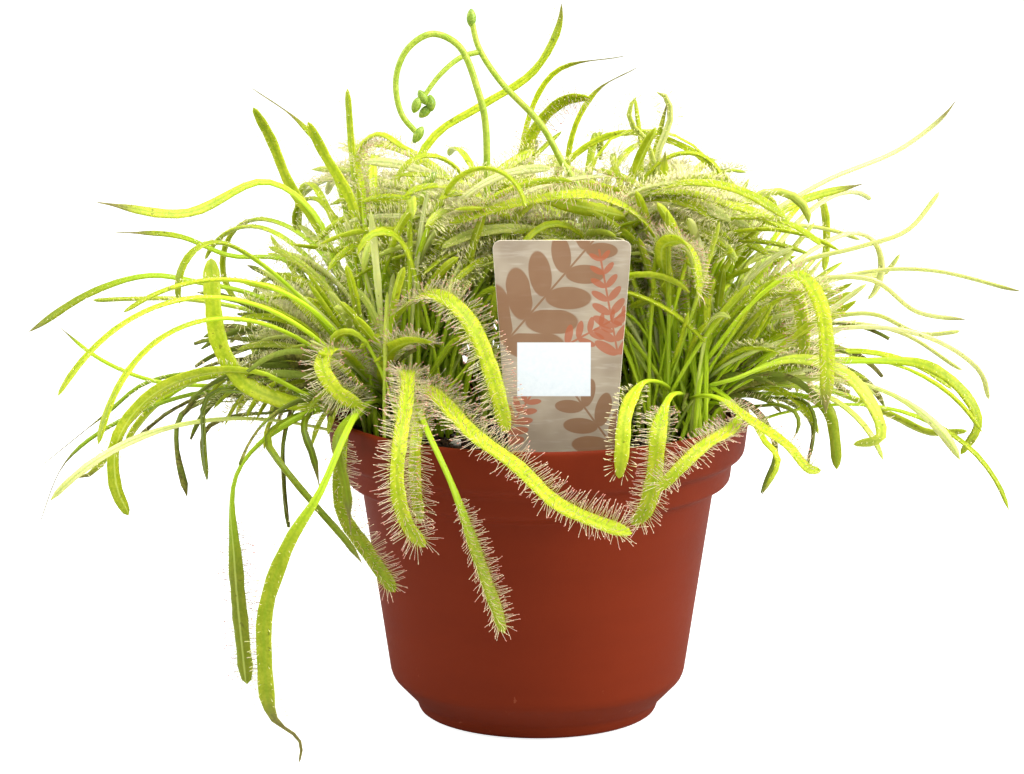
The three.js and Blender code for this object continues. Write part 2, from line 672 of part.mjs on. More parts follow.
// The listed leaves come first. Then each crown in turn gets one leaf of the rule, as long as it
// has any left to draw and room for one.
function growPlants(stalkPaths) {
  const plants = Object.values(CROWNS).map((crown) => {
    const centre = vector(crown.at);
    const list = (leaves, rooted) => leaves.map((leaf) => (
      { ...leaf, ...listedPath(centre, rooted, leaf.at) }
    ));
    return {
      ...crown,
      centre,
      random: randomSource(crown.seed),
      leaves: list(crown.leaves, LEAF_ROOT),
      withered: list(crown.withered, WITHERED_ROOT),
    };
  });
  const addLeaf = (plant, kind, draw) => {
    const others = plants.flatMap((other) => {
      const green = other === plant && kind === 'leaves' ? [] : other.leaves;
      const brown = other === plant && kind === 'withered' ? [] : other.withered;
      return [...green, ...brown].flatMap((leaf) => leaf.path.slice(3));
    });
    const own = plant[kind].flatMap((leaf) => leaf.path.slice(9));
    const drawn = roomiest(draw, [...others, ...stalkPaths], own);
    if (drawn) {
      plant[kind].push({ ...EXTRA_LEAF, ...drawn });
    }
  };
  for (let turn = 0; turn < MOST_TURNS; turn += 1) {
    for (const plant of plants) {
      const { centre, matted, extra, random } = plant;
      const index = turn - matted;
      if (index < 0) {
        addLeaf(plant, 'leaves', () => drawMatted(centre, plant.inward, random));
      } else if (index < extra) {
        addLeaf(plant, 'leaves', () => drawLeaf(centre, index, extra, random));
      } else if (index < extra + plant.dead) {
        addLeaf(plant, 'withered', () => drawWithered(centre, index - extra, random));
      }
    }
  }
  return plants;
}

// ---------- leaf solids
// The width direction starts level and is carried along the path without turning about it.
function leafFrames(path, twist) {
  const frames = [];
  let across = null;
  for (let k = 0; k <= PATH_STEPS; k += 1) {
    const before = path[Math.max(0, k - 1)];
    const after = path[Math.min(PATH_STEPS, k + 1)];
    const along = after.clone().sub(before).normalize();
    if (across === null) {
      const heading = path[PATH_STEPS >> 1].clone().sub(path[0]);
      across = new THREE.Vector3(-heading.y, heading.x, 0);
    }
    across = across.clone().addScaledVector(along, -across.dot(along)).normalize();
    const down = across.clone().cross(along);
    const turn = degrees(twist) * smooth(0.1, 0.7, k / PATH_STEPS);
    const wide = across.clone().multiplyScalar(Math.cos(turn)).addScaledVector(down, Math.sin(turn));
    const thick = wide.clone().cross(along);
    frames.push({ wide, thick });
  }
  return frames;
}

function leafWidth(leaf, u) {
  const blade = smooth(leaf.petiole - 0.05, leaf.petiole + 0.08, u);
  const width = PETIOLE_WIDTH + (leaf.width - PETIOLE_WIDTH) * blade;
  const fromTip = clamp01((1 - u) * leaf.length / TIP_LENGTH);
  return Math.max(0.8, width * Math.sqrt(1 - (1 - fromTip) ** 2));
}

// A three-sided rod is drawn out along the path: two of its corners are the leaf's edges, with
// the flat face between them, and the third is the keel under it.
function leafSolid(leaf, sections, thickness) {
  const geometry = new THREE.CylinderGeometry(1, 1, 1, 3, sections);
  const frames = leafFrames(leaf.path, leaf.twist);
  const position = geometry.attributes.position;
  for (let i = 0; i < position.count; i += 1) {
    const u = 1 - clamp01(0.5 - position.getY(i)) ** 1.2;
    const spot = u * PATH_STEPS;
    const step = Math.min(PATH_STEPS - 1, Math.floor(spot));
    const point = leaf.path[step].clone().lerp(leaf.path[step + 1], spot - step);
    const frame = frames[Math.round(spot)];
    point.addScaledVector(frame.wide, position.getX(i) * leafWidth(leaf, u) / Math.sqrt(3));
    point.addScaledVector(frame.thick, position.getZ(i) * thickness / 1.5);
    position.setXYZ(i, point.x, point.y, point.z);
  }
  return solidOf(geometry);
}

// The crown is a low dome that every leaf of the rosette is rooted in.
function crownDome(centre) {
  const profile = [[0, 0], [3.6, 0], [4, 1.6], [3.4, 4], [1.8, 5.6], [0, 6]];
  const geometry = lathe(profile, 10);
  geometry.translate(centre.x, centre.y, centre.z);
  return solidOf(geometry);
}

function rosetteSolid(plant) {
  const leaves = plant.leaves.map((leaf) => {
    const sections = leaf.at ? LEAF_SECTIONS : EXTRA_SECTIONS;
    return leafSolid(leaf, sections, LEAF_THICKNESS);
  });
  return joined([crownDome(plant.centre), ...leaves]);
}

// The old stem stands in the soil, and its withered leaves hang from it.
function stemSolid(plant) {
  const top = plant.centre.z - GAP;
  const stem = upright(STEM_RADIUS, STEM_FOOT, top, 10, plant.centre.x, plant.centre.y);
  const leaves = plant.withered.map((leaf) => {
    const spec = { ...leaf, petiole: 0.3, twist: 40, width: WITHERED_WIDTH };
    return leafSolid(spec, WITHERED_SECTIONS, WITHERED_THICKNESS);
  });
  return joined([stem, ...leaves]);
}

// ---------- flower stalks
function stalkCurve(points) {
  return new THREE.CatmullRomCurve3(points.map(vector));
}

function rodAlong(curve, radius, steps) {
  const corners = [0, 1, 2, 3, 4].map((i) => {
    const angle = 2 * Math.PI * i / 5;
    return new THREE.Vector2(radius * Math.cos(angle), radius * Math.sin(angle));
  });
  const shape = new THREE.Shape(corners);
  const settings = { steps, extrudePath: curve, bevelEnabled: false };
  return solidOf(new THREE.ExtrudeGeometry(shape, settings));
}

function bud(at, length, tilt) {
  const geometry = new THREE.IcosahedronGeometry(1, 0);
  geometry.scale(BUD_RADIUS, BUD_RADIUS, length / 2);
  geometry.rotateY(degrees(tilt));
  geometry.translate(at.x, at.y, at.z);
  return solidOf(geometry);
}

// ---------- the model
const plantLabel = labelSolid(0);
const footed = (points) => [[points[0][0], points[0][1], STALK_FOOT], ...points];
const stalkCurves = STALKS.map((points) => stalkCurve(footed(points)));
const branchCurve = stalkCurve(NODDING_BRANCH);
const stalkPaths = [...stalkCurves, branchCurve].flatMap((curve) => curve.getPoints(60));
const plants = growPlants(stalkPaths);

const tipOf = (curve) => curve.getPoint(1);
const budCluster = [[0, 0, 0], [1.6, 0.4, -1.2], [-1.4, -0.5, -1.5], [0.4, 0.8, -3]];
const stalkSolids = [
  joined([rodAlong(stalkCurves[0], STALK_RADIUS, 44), bud(tipOf(stalkCurves[0]), 4, 30)]),
  joined([
    rodAlong(stalkCurves[1], STALK_RADIUS, 26),
    rodAlong(branchCurve, BRANCH_RADIUS, 8),
    bud(tipOf(stalkCurves[1]), 4, 0),
    ...budCluster.map((offset, i) => (
      bud(tipOf(branchCurve).add(vector(offset)), 3.6, 25 * i - 30)
    )),
  ]),
  joined([rodAlong(stalkCurves[2], SMALL_STALK_RADIUS, 16), bud(tipOf(stalkCurves[2]), 5, 40)]),
];

let soil = makeSoil();
for (const plant of plants) {
  const { x, y } = plant.centre;
  soil = soil.subtract(upright(STEM_RADIUS + GAP, STEM_FOOT - GAP, POT_HEIGHT + 4, 10, x, y));
}
for (const points of STALKS) {
  const [x, y] = points[0];
  const hole = STALK_RADIUS + STALK_ROOM;
  soil = soil.subtract(upright(hole, STALK_FOOT - GAP, POT_HEIGHT + 4, 8, x, y));
}
soil = soil.subtract(labelSolid(GAP));

const model = new THREE.Group();
model.add(named('pot', geometryOf(makePot()), terracotta));
model.add(named('soil', geometryOf(soil), peat));
model.add(named('plant_label', geometryOf(plantLabel), card));
for (const plant of plants) {
  model.add(named(`rosette_${plant.name}`, geometryOf(rosetteSolid(plant)), leafGreen));
  model.add(named(`stem_${plant.name}`, geometryOf(stemSolid(plant)), deadBrown));
}
stalkSolids.forEach((solid, i) => {
  model.add(named(`flower_stalk_${i + 1}`, geometryOf(solid), stalkGreen));
});

export default model;
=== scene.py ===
"""A cape sundew (Drosera capensis) in a plastic nursery pot: leaves with their tentacles, soil, label and
light.

Shapes are worked out in millimetres, in the frame of the CAD model, and are scaled to metres as they go
into a mesh.
"""

import math
from collections import namedtuple

import bpy
import numpy as np
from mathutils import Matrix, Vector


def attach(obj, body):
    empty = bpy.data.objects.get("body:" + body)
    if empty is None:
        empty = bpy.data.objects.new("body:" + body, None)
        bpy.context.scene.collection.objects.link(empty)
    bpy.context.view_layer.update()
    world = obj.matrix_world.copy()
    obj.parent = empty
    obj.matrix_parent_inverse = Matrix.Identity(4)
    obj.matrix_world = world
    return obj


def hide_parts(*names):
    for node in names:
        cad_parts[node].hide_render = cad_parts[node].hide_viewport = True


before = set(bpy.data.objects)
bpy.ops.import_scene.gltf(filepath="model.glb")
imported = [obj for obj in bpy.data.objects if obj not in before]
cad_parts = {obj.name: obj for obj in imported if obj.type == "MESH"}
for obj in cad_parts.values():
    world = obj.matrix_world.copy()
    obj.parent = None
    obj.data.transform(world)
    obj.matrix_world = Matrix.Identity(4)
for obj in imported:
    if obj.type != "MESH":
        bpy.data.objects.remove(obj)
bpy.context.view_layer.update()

MM = 0.001
UV = "OFBake"
PATH_STEPS = 36
SPAN_STEPS = 12

# The rule that grows leaves in the CAD model, and the distance to nothing
GOLDEN_ANGLE = math.radians(137.5)
OTHER_PLANT_GAP = 4.4
CANDIDATES = 40
MOST_TURNS = 60
LEAF_ROOT = (2.0, 2.0)
WITHERED_ROOT = (3.0, -2.1)
FAR_AWAY = 99.0

# Leaves and tentacles
TIP_LENGTH = 5.0
STALK_WIDTH = 1.4
YOUNG_STALK_WIDTH = 1.05
HAIRY = 0.8
FIRST_RING_SHARE = 0.25
FACING_HEIGHT = 92
FACING_TURN = 55

# Pot, soil and label
SOIL_LEVEL = 60.5
SOIL_LUMP = 1.1
SOIL_REACH = 42.5
SOIL_FOOT = 1.8
RIM_RADIUS = 45.0
LABEL_PIVOT = np.array([4.7, -30.2, 63.0])
LABEL_LEAN = math.radians(6)
LABEL_TOP = 106.5
LABEL_THICKNESS = 0.7

# Where leaves may be: their least height over the soil, the rim and the floor, the half axes of the dome
# that holds the plant, and the room kept free before the label, the pot and the broad leaf that curls up.
OVER_SOIL, OVER_RIM, OVER_FLOOR = 65, 69.5, 8
RIM_INSIDE, RIM_OUTSIDE = 4.5, 3.5
DOME_WIDTH, DOME_HEIGHT = 102, 62
LABEL_ROOM_WIDTH, LABEL_ROOM_FRONT, LABEL_ROOM_TOP = 18.5, -21, 5.5
POT_ROOM_WIDTH, POT_ROOM_FRONT = 50, -30
CURL_X, CURL_ROOM_WIDTH, CURL_ROOM_FRONT, CURL_ROOM_FOOT = -61, 13, -18, 71

# ---------- leaves and stalks, listed one by one
# A leaf is its petiole's share of the length, its twist in degrees, the width of its blade, how long its
# tentacles are against the longest, the share that has dried up, how dark it is, and its points.
LEFT_LEAVES = [
    # broad leaf that curls up with its smooth back outward
    (0.16, 92, 6.6, 0.3, 0, 0.42, [
        (-40.5, -15, 70), (-51, -22, 71.5), (-60.5, -26, 76.5), (-65.5, -26, 84.5), (-67, -24, 93.5),
        (-67.5, -20, 101.5)]),
    # long wavy leaf
    (0.62, 20, 4.2, 0.4, 0.06, 0.5, [
        (-41, 2, 89), (-47, 4, 106.5), (-57.5, 3, 114), (-74, -2, 108), (-92.5, -6, 111)]),
    # narrow level leaf
    (0.74, 0, 3.4, 0.3, 0.08, 0.75, [
        (-43.5, 8, 81), (-53, 10, 95.5), (-66, 10, 97), (-76.5, 8, 101.5), (-90, 4, 103)]),
    # leaf drooping at its end
    (0.72, 35, 4, 0.35, 0.02, 0.7, [
        (-45, -4, 80), (-58, -8, 91), (-70.5, -12, 95), (-81, -12, 96.5), (-93, -12, 93),
        (-106.5, -12, 84.5)]),
    # level leaf under it
    (0.56, 0, 3.6, 0.35, 0, 0.45, [
        (-43, 4, 78.5), (-59, 2, 86), (-74, 2, 89), (-86.5, 0, 89.5), (-94, -2, 89.5)]),
    # thin stalk bending up
    (0.94, 0, 1.8, 0, 0.05, 0.7, [
        (-48, -6, 71), (-64.5, -12, 73), (-80, -14, 74.5), (-91.5, -13, 79), (-100.5, -12, 86)]),
    # upright leaf
    (0.45, 60, 4.2, 0.5, 0, 0.45, [
        (-40.5, 8, 90), (-47, 12, 103), (-53, 14, 111.5), (-57, 14, 121.5), (-60.5, 12, 128.5)]),
    # dry upright leaf
    (0.6, 0, 2.4, 0.2, 0.15, 0.45, [
        (-38.5, 16, 95), (-44.5, 20, 115), (-51, 18, 124.5), (-61, 14, 132.5)]),
    # upright leaf
    (0.45, 60, 4, 0.5, 0, 0.45, [
        (-36, -2, 94), (-39.5, 2, 110), (-45, 4, 119.5), (-48.5, 4, 126.5)]),
    # upright leaf at the back
    (0.55, 60, 3.6, 0.5, 0, 0.45, [
        (-35.5, 20, 90), (-39.5, 24, 111), (-41, 24, 131)]),
    # leaf with a bent head
    (0.6, 40, 4.2, 0.8, 0, 0.3, [
        (-35.5, -8, 90.5), (-36.5, -8, 113), (-37.5, -9, 122), (-33, -11, 126), (-27, -14, 123)]),
    # long leaf that crosses above the label
    (0.42, 0, 3.2, 0.35, 0.02, 0.2, [
        (-30.5, 4, 88.5), (-28, 12, 111), (-22, 16, 122), (-12.5, 17, 128), (-1, 17, 135.5),
        (4.5, 15, 145.5), (5, 14, 150.5)]),
    # drooping leaf, far left
    (0.34, -50, 4.4, 0.7, 0, 0.62, [
        (-45.5, -18, 71.5), (-58.5, -26, 79), (-70.5, -28, 79), (-80.5, -28, 74), (-87, -28, 65),
        (-87.5, -27, 55), (-85, -26, 48.5)]),
    # thin stalk, far left
    (0.94, 0, 1.5, 0, 0.2, 1.1, [
        (-45.5, 8, 69), (-63.5, 5, 72.5), (-82.5, -2, 72), (-92, -4, 65), (-106.5, -6, 53.5)]),
    # thin drooping stalk, far left
    (0.94, 0, 1.5, 0, 0.2, 1.1, [
        (-45.5, -10, 70.5), (-53, -13, 71.5), (-70.5, -16, 72.5), (-88.5, -20, 66.5), (-98.5, -20, 58.5),
        (-105, -18, 43.5)]),
    # old leaf hanging beside the pot
    (0.6, 215, 4.4, 0.95, 0, 1, [
        (-40.5, -17, 70), (-49, -26, 69.5), (-58, -30, 64), (-62.5, -31, 57), (-62.5, -32, 40.5),
        (-60.5, -32, 14)]),
    # old leaf against the rim
    (0.5, 0, 3.6, 0.2, 0.1, 1, [
        (-37, -26, 71), (-41, -40, 67.5), (-39, -45, 58.5), (-38, -46, 49)]),
    # longest hanging leaf
    (0.46, 25, 4.9, 0.6, 0.12, 0.75, [
        (-36.5, -25, 71), (-39, -41, 69.5), (-44.5, -49, 58), (-50, -51, 49.5), (-55, -52, 36),
        (-55.5, -52, 25.5), (-54, -51, 12.5), (-48.5, -50, 7), (-49, -49, 2)]),
    # leaf hanging past the rim
    (0.42, 30, 3.9, 0.9, 0, 0.9, [
        (-36.5, -19, 69), (-40, -32, 66), (-40, -38, 52), (-35.5, -38, 44.5), (-29.5, -37, 35)]),
    # leaf down the front
    (0.64, 20, 4, 0.9, 0, 0.85, [
        (-26, -24, 72.5), (-22, -46, 69.5), (-17.5, -50, 60.5), (-14, -50, 50.5), (-10.5, -49, 40),
        (-7, -47, 29)]),
    # curled leaf down the front
    (0.2, 0, 3.8, 1.05, 0, 0.5, [
        (-29.5, -14, 72), (-27, -26, 79), (-27, -38, 74.5), (-28, -47, 69), (-28.5, -51, 60.5),
        (-26.5, -51, 52.5), (-23, -49, 47.5)]),
    # short leaf behind it
    (0.3, 0, 3.2, 0.9, 0, 0.4, [
        (-28, -18, 72.5), (-24.5, -34, 72), (-25, -46, 67.5), (-25, -46, 59.5), (-24, -45, 51.5)]),
    # big leaf across the front
    (0.12, 0, 4.8, 1.25, 0, 0.25, [
        (-28, -16, 73.5), (-22.5, -28, 75.5), (-12.5, -46, 69.5), (-4.5, -50, 64.5), (3.5, -53, 57.5),
        (12.5, -54, 53.5), (18.5, -54, 51.5)]),
    # arch before the label
    (0.2, -35, 4.4, 1.12, 0, 0.3, [
        (-34.5, -8, 77.5), (-31.5, -13, 85), (-26.5, -20, 92.5), (-21.5, -25, 95), (-16.5, -30, 93),
        (-12.5, -34, 88), (-9, -38, 79), (-6.5, -40, 69)]),
    # small arch
    (0.2, 0, 4.2, 1, 0, 0.3, [
        (-32, -14, 75), (-31, -20, 82), (-26.5, -26, 85.5), (-22, -30, 86)]),
    # short curling leaf
    (0.25, 0, 4.2, 1, 0, 0.3, [
        (-37, -14, 77), (-42.5, -22, 83), (-44.5, -28, 80.5), (-41, -31, 75.5), (-36, -31, 72.5)]),
    # leaf across the middle
    (0.36, 0, 4.2, 0.9, 0, 0.3, [
        (-29.5, 9, 87.5), (-23, 4, 104), (-8, 4, 112), (9, 5, 112.5), (21, 4, 110)]),
]
RIGHT_LEAVES = [
    # long upper leaf
    (0.55, 20, 4, 0.15, 0.05, 0.45, [
        (35.5, 2, 82.5), (42.5, 4, 101), (59.5, 6, 113), (76.5, 6, 120.5), (85.5, 4, 128),
        (88, 3, 131.5)]),
    # leaf behind it
    (0.6, 0, 3.6, 0.2, 0.05, 0.45, [
        (37, 14, 84.5), (46.5, 18, 100), (56.5, 20, 107), (70.5, 20, 111)]),
    # wavy leaf
    (0.5, 20, 4, 0.3, 0, 0.4, [
        (37, -6, 82.5), (53.5, -8, 98), (67, -8, 102), (77, -8, 105.5), (83.5, -8, 113.5)]),
    # long level leaf
    (0.5, 20, 3.8, 0.3, 0.025, 0.45, [
        (39.5, 10, 76.5), (56.5, 14, 88.5), (71.5, 14, 93), (85, 12, 93.5), (103.5, 8, 89.5)]),
    # leaf with a raised tip
    (0.45, 0, 3.6, 0.3, 0, 0.45, [
        (41.5, 20, 75.5), (57.5, 26, 86.5), (68, 27, 89.5), (75.5, 27, 90), (79, 26, 94.5)]),
    # drooping leaf
    (0.6, 20, 4, 0.35, 0.025, 0.45, [
        (38.5, -14, 82), (55, -18, 96), (69, -20, 97), (78, -20, 90.5), (88.5, -19, 88.5)]),
    # level leaf
    (0.6, 20, 4.2, 0.35, 0, 0.45, [
        (42, 2, 77.5), (62, 2, 85), (71.5, 1, 86), (81, 0, 82), (89.5, 0, 82.5)]),
    # leaf bending down
    (0.5, 20, 3.6, 0.35, 0, 0.45, [
        (44, 22, 72), (61, 26, 79), (78.5, 24, 78), (92.5, 20, 70)]),
    # leaf bending down
    (0.45, 20, 4, 0.4, 0, 0.45, [
        (42, -20, 81), (64, -27, 88.5), (80, -28, 86.5), (90.5, -28, 79.5), (92.5, -28, 73.5)]),
    # long hooked leaf
    (0.56, -60, 4.4, 0.4, 0, 0.7, [
        (43.5, -10, 74.5), (56.5, -14, 78), (70, -15, 79), (81, -15, 78), (89, -15, 72), (92, -15, 65.5),
        (88.5, -15, 59)]),
    # low leaf
    (0.58, 30, 4.2, 0.4, 0, 0.7, [
        (44, 8, 69.5), (61, 10, 68), (76.5, 10, 62), (84.5, 9, 58.5), (92.5, 8, 59)]),
    # hooked leaf
    (0.44, -50, 4.2, 0.7, 0, 0.3, [
        (40.5, -26, 77.5), (52, -33, 83), (61.5, -36, 81), (67.5, -37, 74.5), (69.5, -37, 67.5),
        (64, -37, 66)]),
    # drooping hairy leaf
    (0.55, -40, 4.2, 0.95, 0.04, 0.2, [
        (36.5, -20, 82.5), (46, -30, 96.5), (52.5, -36, 101), (56.5, -39, 96), (58, -40, 87),
        (58, -40, 73)]),
    # leaf beside it
    (0.54, -45, 4.4, 0.85, 0.03, 0.2, [
        (38.5, -10, 84.5), (47, -18, 96), (51.5, -24, 97.5), (54, -28, 90), (54, -29, 80)]),
    # leaf over the rim
    (0.5, 0, 4.2, 0.8, 0, 0.25, [
        (33, -20, 72.5), (37, -32, 74.5), (43, -42, 72), (50, -44, 67.5), (54.5, -44, 62.5),
        (57, -43, 62)]),
    # leaf turning back over the rim
    (0.5, 0, 4.4, 0.85, 0, 0.35, [
        (34.5, -16, 74), (41, -29, 71.5), (39, -40, 70), (33, -49, 68.5), (28.5, -52, 65),
        (23.5, -53, 60)]),
    # leaf hanging over the rim
    (0.52, 0, 5.2, 0.8, 0, 0.55, [
        (29, -24, 74), (26.5, -34, 75), (24, -46, 71), (23, -49, 61.5), (21, -49, 54.5), (18.5, -48, 52)]),
    # leaf beside the label
    (0.52, 0, 4.6, 0.75, 0, 0.2, [
        (26, -20, 75), (21.5, -30, 77.5), (17.5, -43, 74), (16.5, -48, 66), (16, -48, 61.5)]),
    # upright stalk
    (0.8, 0, 3.2, 0.2, 0.025, 0.45, [
        (28, 6, 88), (26.5, 9, 107), (27, 8, 120)]),
    # leaf across the middle
    (0.36, 0, 4.2, 0.9, 0, 0.3, [
        (27, -10, 91), (23, -14, 107), (12.5, -17, 114), (-2, -19, 113.5), (-18.5, -20, 109)]),
    # leaf beside the label top
    (0.34, 0, 4.2, 0.9, 0, 0.3, [
        (28, -14, 89.5), (25.5, -22, 104.5), (29.5, -28, 106.5), (32, -32, 103), (32.5, -34, 95.5)]),
]
BACK_LEAVES = [
    # leaf with a bent head
    (0.48, 0, 4, 0.8, 0, 0.3, [
        (1.5, 26, 77.5), (-3.5, 34, 102), (-3.5, 34, 114), (1.5, 34, 123.5), (6.5, 33, 127.5),
        (11.5, 32, 128)]),
    # arching leaf
    (0.42, 0, 2.2, 0.6, 0, 0.2, [
        (5, 24, 84.5), (2, 26, 107.5), (10, 28, 117.5), (20, 28, 121), (33, 26, 117.5), (44.5, 24, 108)]),
    # upright leaf
    (0.5, 60, 4.2, 0.5, 0, 0.45, [
        (12.5, 12, 87), (17.5, 14, 105), (22, 12, 118.5), (25, 10, 124.5)]),
    # upright leaf
    (0.5, 60, 3, 0.5, 0, 0.1, [
        (16, 26, 84.5), (22.5, 28, 112.5), (21, 24, 129)]),
    # upright leaf
    (0.5, 60, 3, 0.4, 0.05, 0.1, [
        (16, 20, 85.5), (24.5, 20, 115), (28, 18, 130)]),
    # thin back leaf
    (0.5, 0, 2.3, 0.4, 0.12, 0.3, [
        (2, 34, 83), (-3.5, 42, 113), (3.5, 42, 132), (19.5, 38, 136.5)]),
    # thin back leaf
    (0.5, 0, 2.3, 0.4, 0.12, 0.3, [
        (9.5, 30, 83.5), (7, 36, 116), (12.5, 36, 128.5), (22, 34, 134.5)]),
    # leaf across the middle
    (0.34, 0, 4.2, 0.9, 0, 0.3, [
        (0.5, 4, 88.5), (-6, -8, 105), (-2, -12, 113), (8.5, -12, 111), (18, -10, 108.5)]),
]
LEFT_WITHERED = [
    [(-45.5, 0, 69), (-54, 1, 68.5), (-68.5, 0, 68), (-76, 0, 64), (-77, 0, 57.5), (-75, 0, 46.5)],
    [(-45.5, -5, 68), (-53.5, -7, 66.5), (-64, -8, 65.5), (-70, -8, 62.5), (-70, -8, 52)],
    [(-45.5, 15, 68), (-55, 17, 65.5), (-70, 17, 65.5), (-79.5, 17, 61.5), (-87.5, 17, 55)],
    [(-45.5, 20, 67.5), (-52.5, 22, 63), (-55.5, 22, 54), (-55.5, 22, 45), (-54.5, 21, 34.5)],
]
RIGHT_WITHERED = [
    [(43.5, 15, 67.5), (57, 17, 67.5), (64, 17, 61.5), (65, 17, 49)],
    [(42.5, -4, 69.5), (53.5, -4, 67.5), (58, -4, 63), (57, -4, 53)],
    [(41.5, -17, 71), (47, -25, 67.5), (49, -27, 62), (46, -27, 53.5)],
    [(43.5, 25, 66.5), (58, 30, 64), (69, 30, 63)],
]
STALKS = [
    [(-11.5, -4, 63.5), (-11.5, -5, 83.5), (-11, -6, 105), (-11, -7, 127.5), (-12.5, -8, 134.5),
        (-16.5, -8, 144), (-22, -8, 146.5), (-27, -8, 143.5), (-29.5, -8, 137.5), (-28.5, -8, 130),
        (-25, -8, 125.5)],
    [(8.5, -3, 64), (9.5, -3, 89.5), (9, -3, 112), (5, -3, 119), (0.5, -3, 127), (-8, -2, 136),
        (-12.5, -1, 143), (-14, -1, 149)],
    [(-24, 4, 64), (-26.5, 1, 89), (-26.5, -3, 105.5), (-23, -3, 115)],
]
NODDING_BRANCH = [(-12, -1, 142), (-16, -2, 141), (-20.5, -4, 137.5), (-24, -6, 133)]

# Thin strays that the scene adds among the others, in the same columns.
LEFT_STRAYS = [
    # old leaf that hangs back towards the pot
    (0.3, 0, 1.6, 0, 0.03, 1.1, [
        (-49.5, -20, 69), (-55.5, -34, 66.5), (-51.5, -42, 62), (-45, -44, 54.5), (-39.5, -44, 48),
        (-36, -41, 42)]),
    # thin old leaf behind it
    (0.2, 0, 0.7, 0, 0.3, 1.1, [(-50, -12, 69), (-53, -20, 62), (-53, -24, 53), (-51, -26, 44.5)]),
    # dead leaf at the rim
    (0.2, 0, 1.7, 0, 0.1, 1.2, [(-45, -18, 70), (-48, -34, 68.5), (-46, -37, 63.5), (-44.5, -37, 55.5)]),
    # pale blade, far left
    (0.35, -50, 2.4, 0.6, 0.06, 0.62, [
        (-67.5, -16, 76), (-77.5, -20, 73.5), (-85.5, -22, 67), (-90.5, -22, 59), (-94, -22, 56),
        (-98, -22, 55.5)]),
    # blade on a short stub
    (0.55, 0, 2, 0.2, 0, 1.1, [
        (-57.5, -20, 72.5), (-64, -26, 75.5), (-68.5, -28, 73.5), (-69, -28, 65), (-68.5, -28, 56.5)]),
    # thin leaf
    (0.3, 0, 0.5, 0, 0.3, 1.1, [
        (-62.5, -10, 69.5), (-73, -12, 69), (-78.5, -12, 67), (-82.5, -12, 64), (-85, -12, 61)]),
]
RIGHT_STRAYS = [
    # dead leaf
    (0.4, 0, 1.4, 0, 0.05, 1.1, [
        (44.5, -20, 70.5), (49.5, -26, 72), (53, -28, 70.5), (53.5, -28, 67.5), (52, -28, 64.5)]),
    # narrow dead leaf
    (0.4, 0, 1.2, 0, 0.1, 1.1, [
        (48.5, -14, 71), (55.5, -18, 71), (57.5, -20, 67.5), (57, -20, 63), (56.5, -20, 60)]),
    # short broad dead leaf
    (0.6, -70, 2.8, 0, 0, 0.9, [
        (47, -10, 71), (56.5, -14, 71), (60.5, -16, 68.5), (62, -16, 62.5), (62.5, -16, 56)]),
    # pale leaf under the rim
    (0.5, 0, 1.6, 0.3, 0.05, 0.4, [
        (42.5, -24, 70), (46.5, -37, 66), (48.5, -38, 64), (48.5, -38, 61.5), (47, -38, 58.5),
        (45, -38, 55)]),
]
BACK_STRAYS = [
    # thin arc
    (0.3, 0, 0.8, 0, 0.1, 0.3, [
        (13.5, 24, 117.5), (19.5, 26, 121.5), (28.5, 26, 121), (35, 26, 117.5), (39, 24, 113),
        (43, 24, 108.5), (46.5, 24, 107)]),
    # curled tip
    (0.5, 0, 1.6, 0.9, 0, -0.2, [
        (27, 20, 109.5), (25.5, 18, 116.5), (27, 18, 121), (28.5, 18, 125.5), (27.5, 18, 130),
        (25.5, 18, 131)]),
    # curled tip beside it
    (0.5, 0, 1.4, 0.9, 0, -0.2, [
        (25, 14, 109), (24.5, 14, 117.5), (22.5, 14, 122), (20, 14, 124.5), (19.5, 14, 128),
        (21, 14, 130.5)]),
    # thin hook
    (0.3, 0, 0.8, 0, 0, 0.5, [
        (32.5, 14, 105), (34.5, 16, 110.5), (39.5, 18, 109.5), (42.5, 18, 106), (40, 18, 101)]),
]

# The three growing points of the clump. The rule adds matted leaves that arch over the middle of the pot,
# extra ones all round and dead ones at the foot, and the scene adds as many more dead ones as loose says.
CROWNS = [
    dict(name="left", at=(-31, -6, 64), listed=LEFT_LEAVES, strays=LEFT_STRAYS,
         listed_withered=LEFT_WITHERED, seed=11, matted=6, inward=10, extra=30, dead=6, loose=74),
    dict(name="right", at=(30, -8, 64), listed=RIGHT_LEAVES, strays=RIGHT_STRAYS,
         listed_withered=RIGHT_WITHERED, seed=23, matted=6, inward=170, extra=31, dead=6, loose=34),
    dict(name="back", at=(3, 13, 64), listed=BACK_LEAVES, strays=BACK_STRAYS,
         listed_withered=[], seed=37, matted=14, inward=-90, extra=28, dead=9, loose=34),
]

# The sorts of young leaves: the range of heading round the middle one, the least and most lift, the least
# droop and its range, the range of sway, the least and most length, and how far out and up they may be.
Sort = namedtuple("Sort", "turn least_lift most_lift least_droop more_droop sway shortest longest out up")
SORTS = {
    "upright": Sort(360, 50, 92, 0, 70, 50, 32, 72, 60, 116),
    "comb": Sort(120, 24, 62, 0, 34, 40, 34, 56, 68, 100),
    "side mat": Sort(110, 58, 82, 70, 70, 90, 36, 56, 64, 104),
    "trail": Sort(72, 12, 44, 62, 50, 50, 36, 80, 104, 92),
    "mat skirt": Sort(130, 34, 64, 105, 50, 60, 30, 48, 74, 92),
    "matted": Sort(200, 78, 92, 88, 40, 150, 62, 82, 52, 124),
}
# How many lines are drawn for each young leaf, how far the upright ones on the left may lie out, how far up
# the upright and the other ones at the back may reach, and the middle and half depth of the whole.
TRIES = 7
LEFT_UPRIGHT_OUT = 46
BACK_UPRIGHT_UP, BACK_UP = 104, 118
MIDDLE_Y, HALF_DEPTH = 10, 72
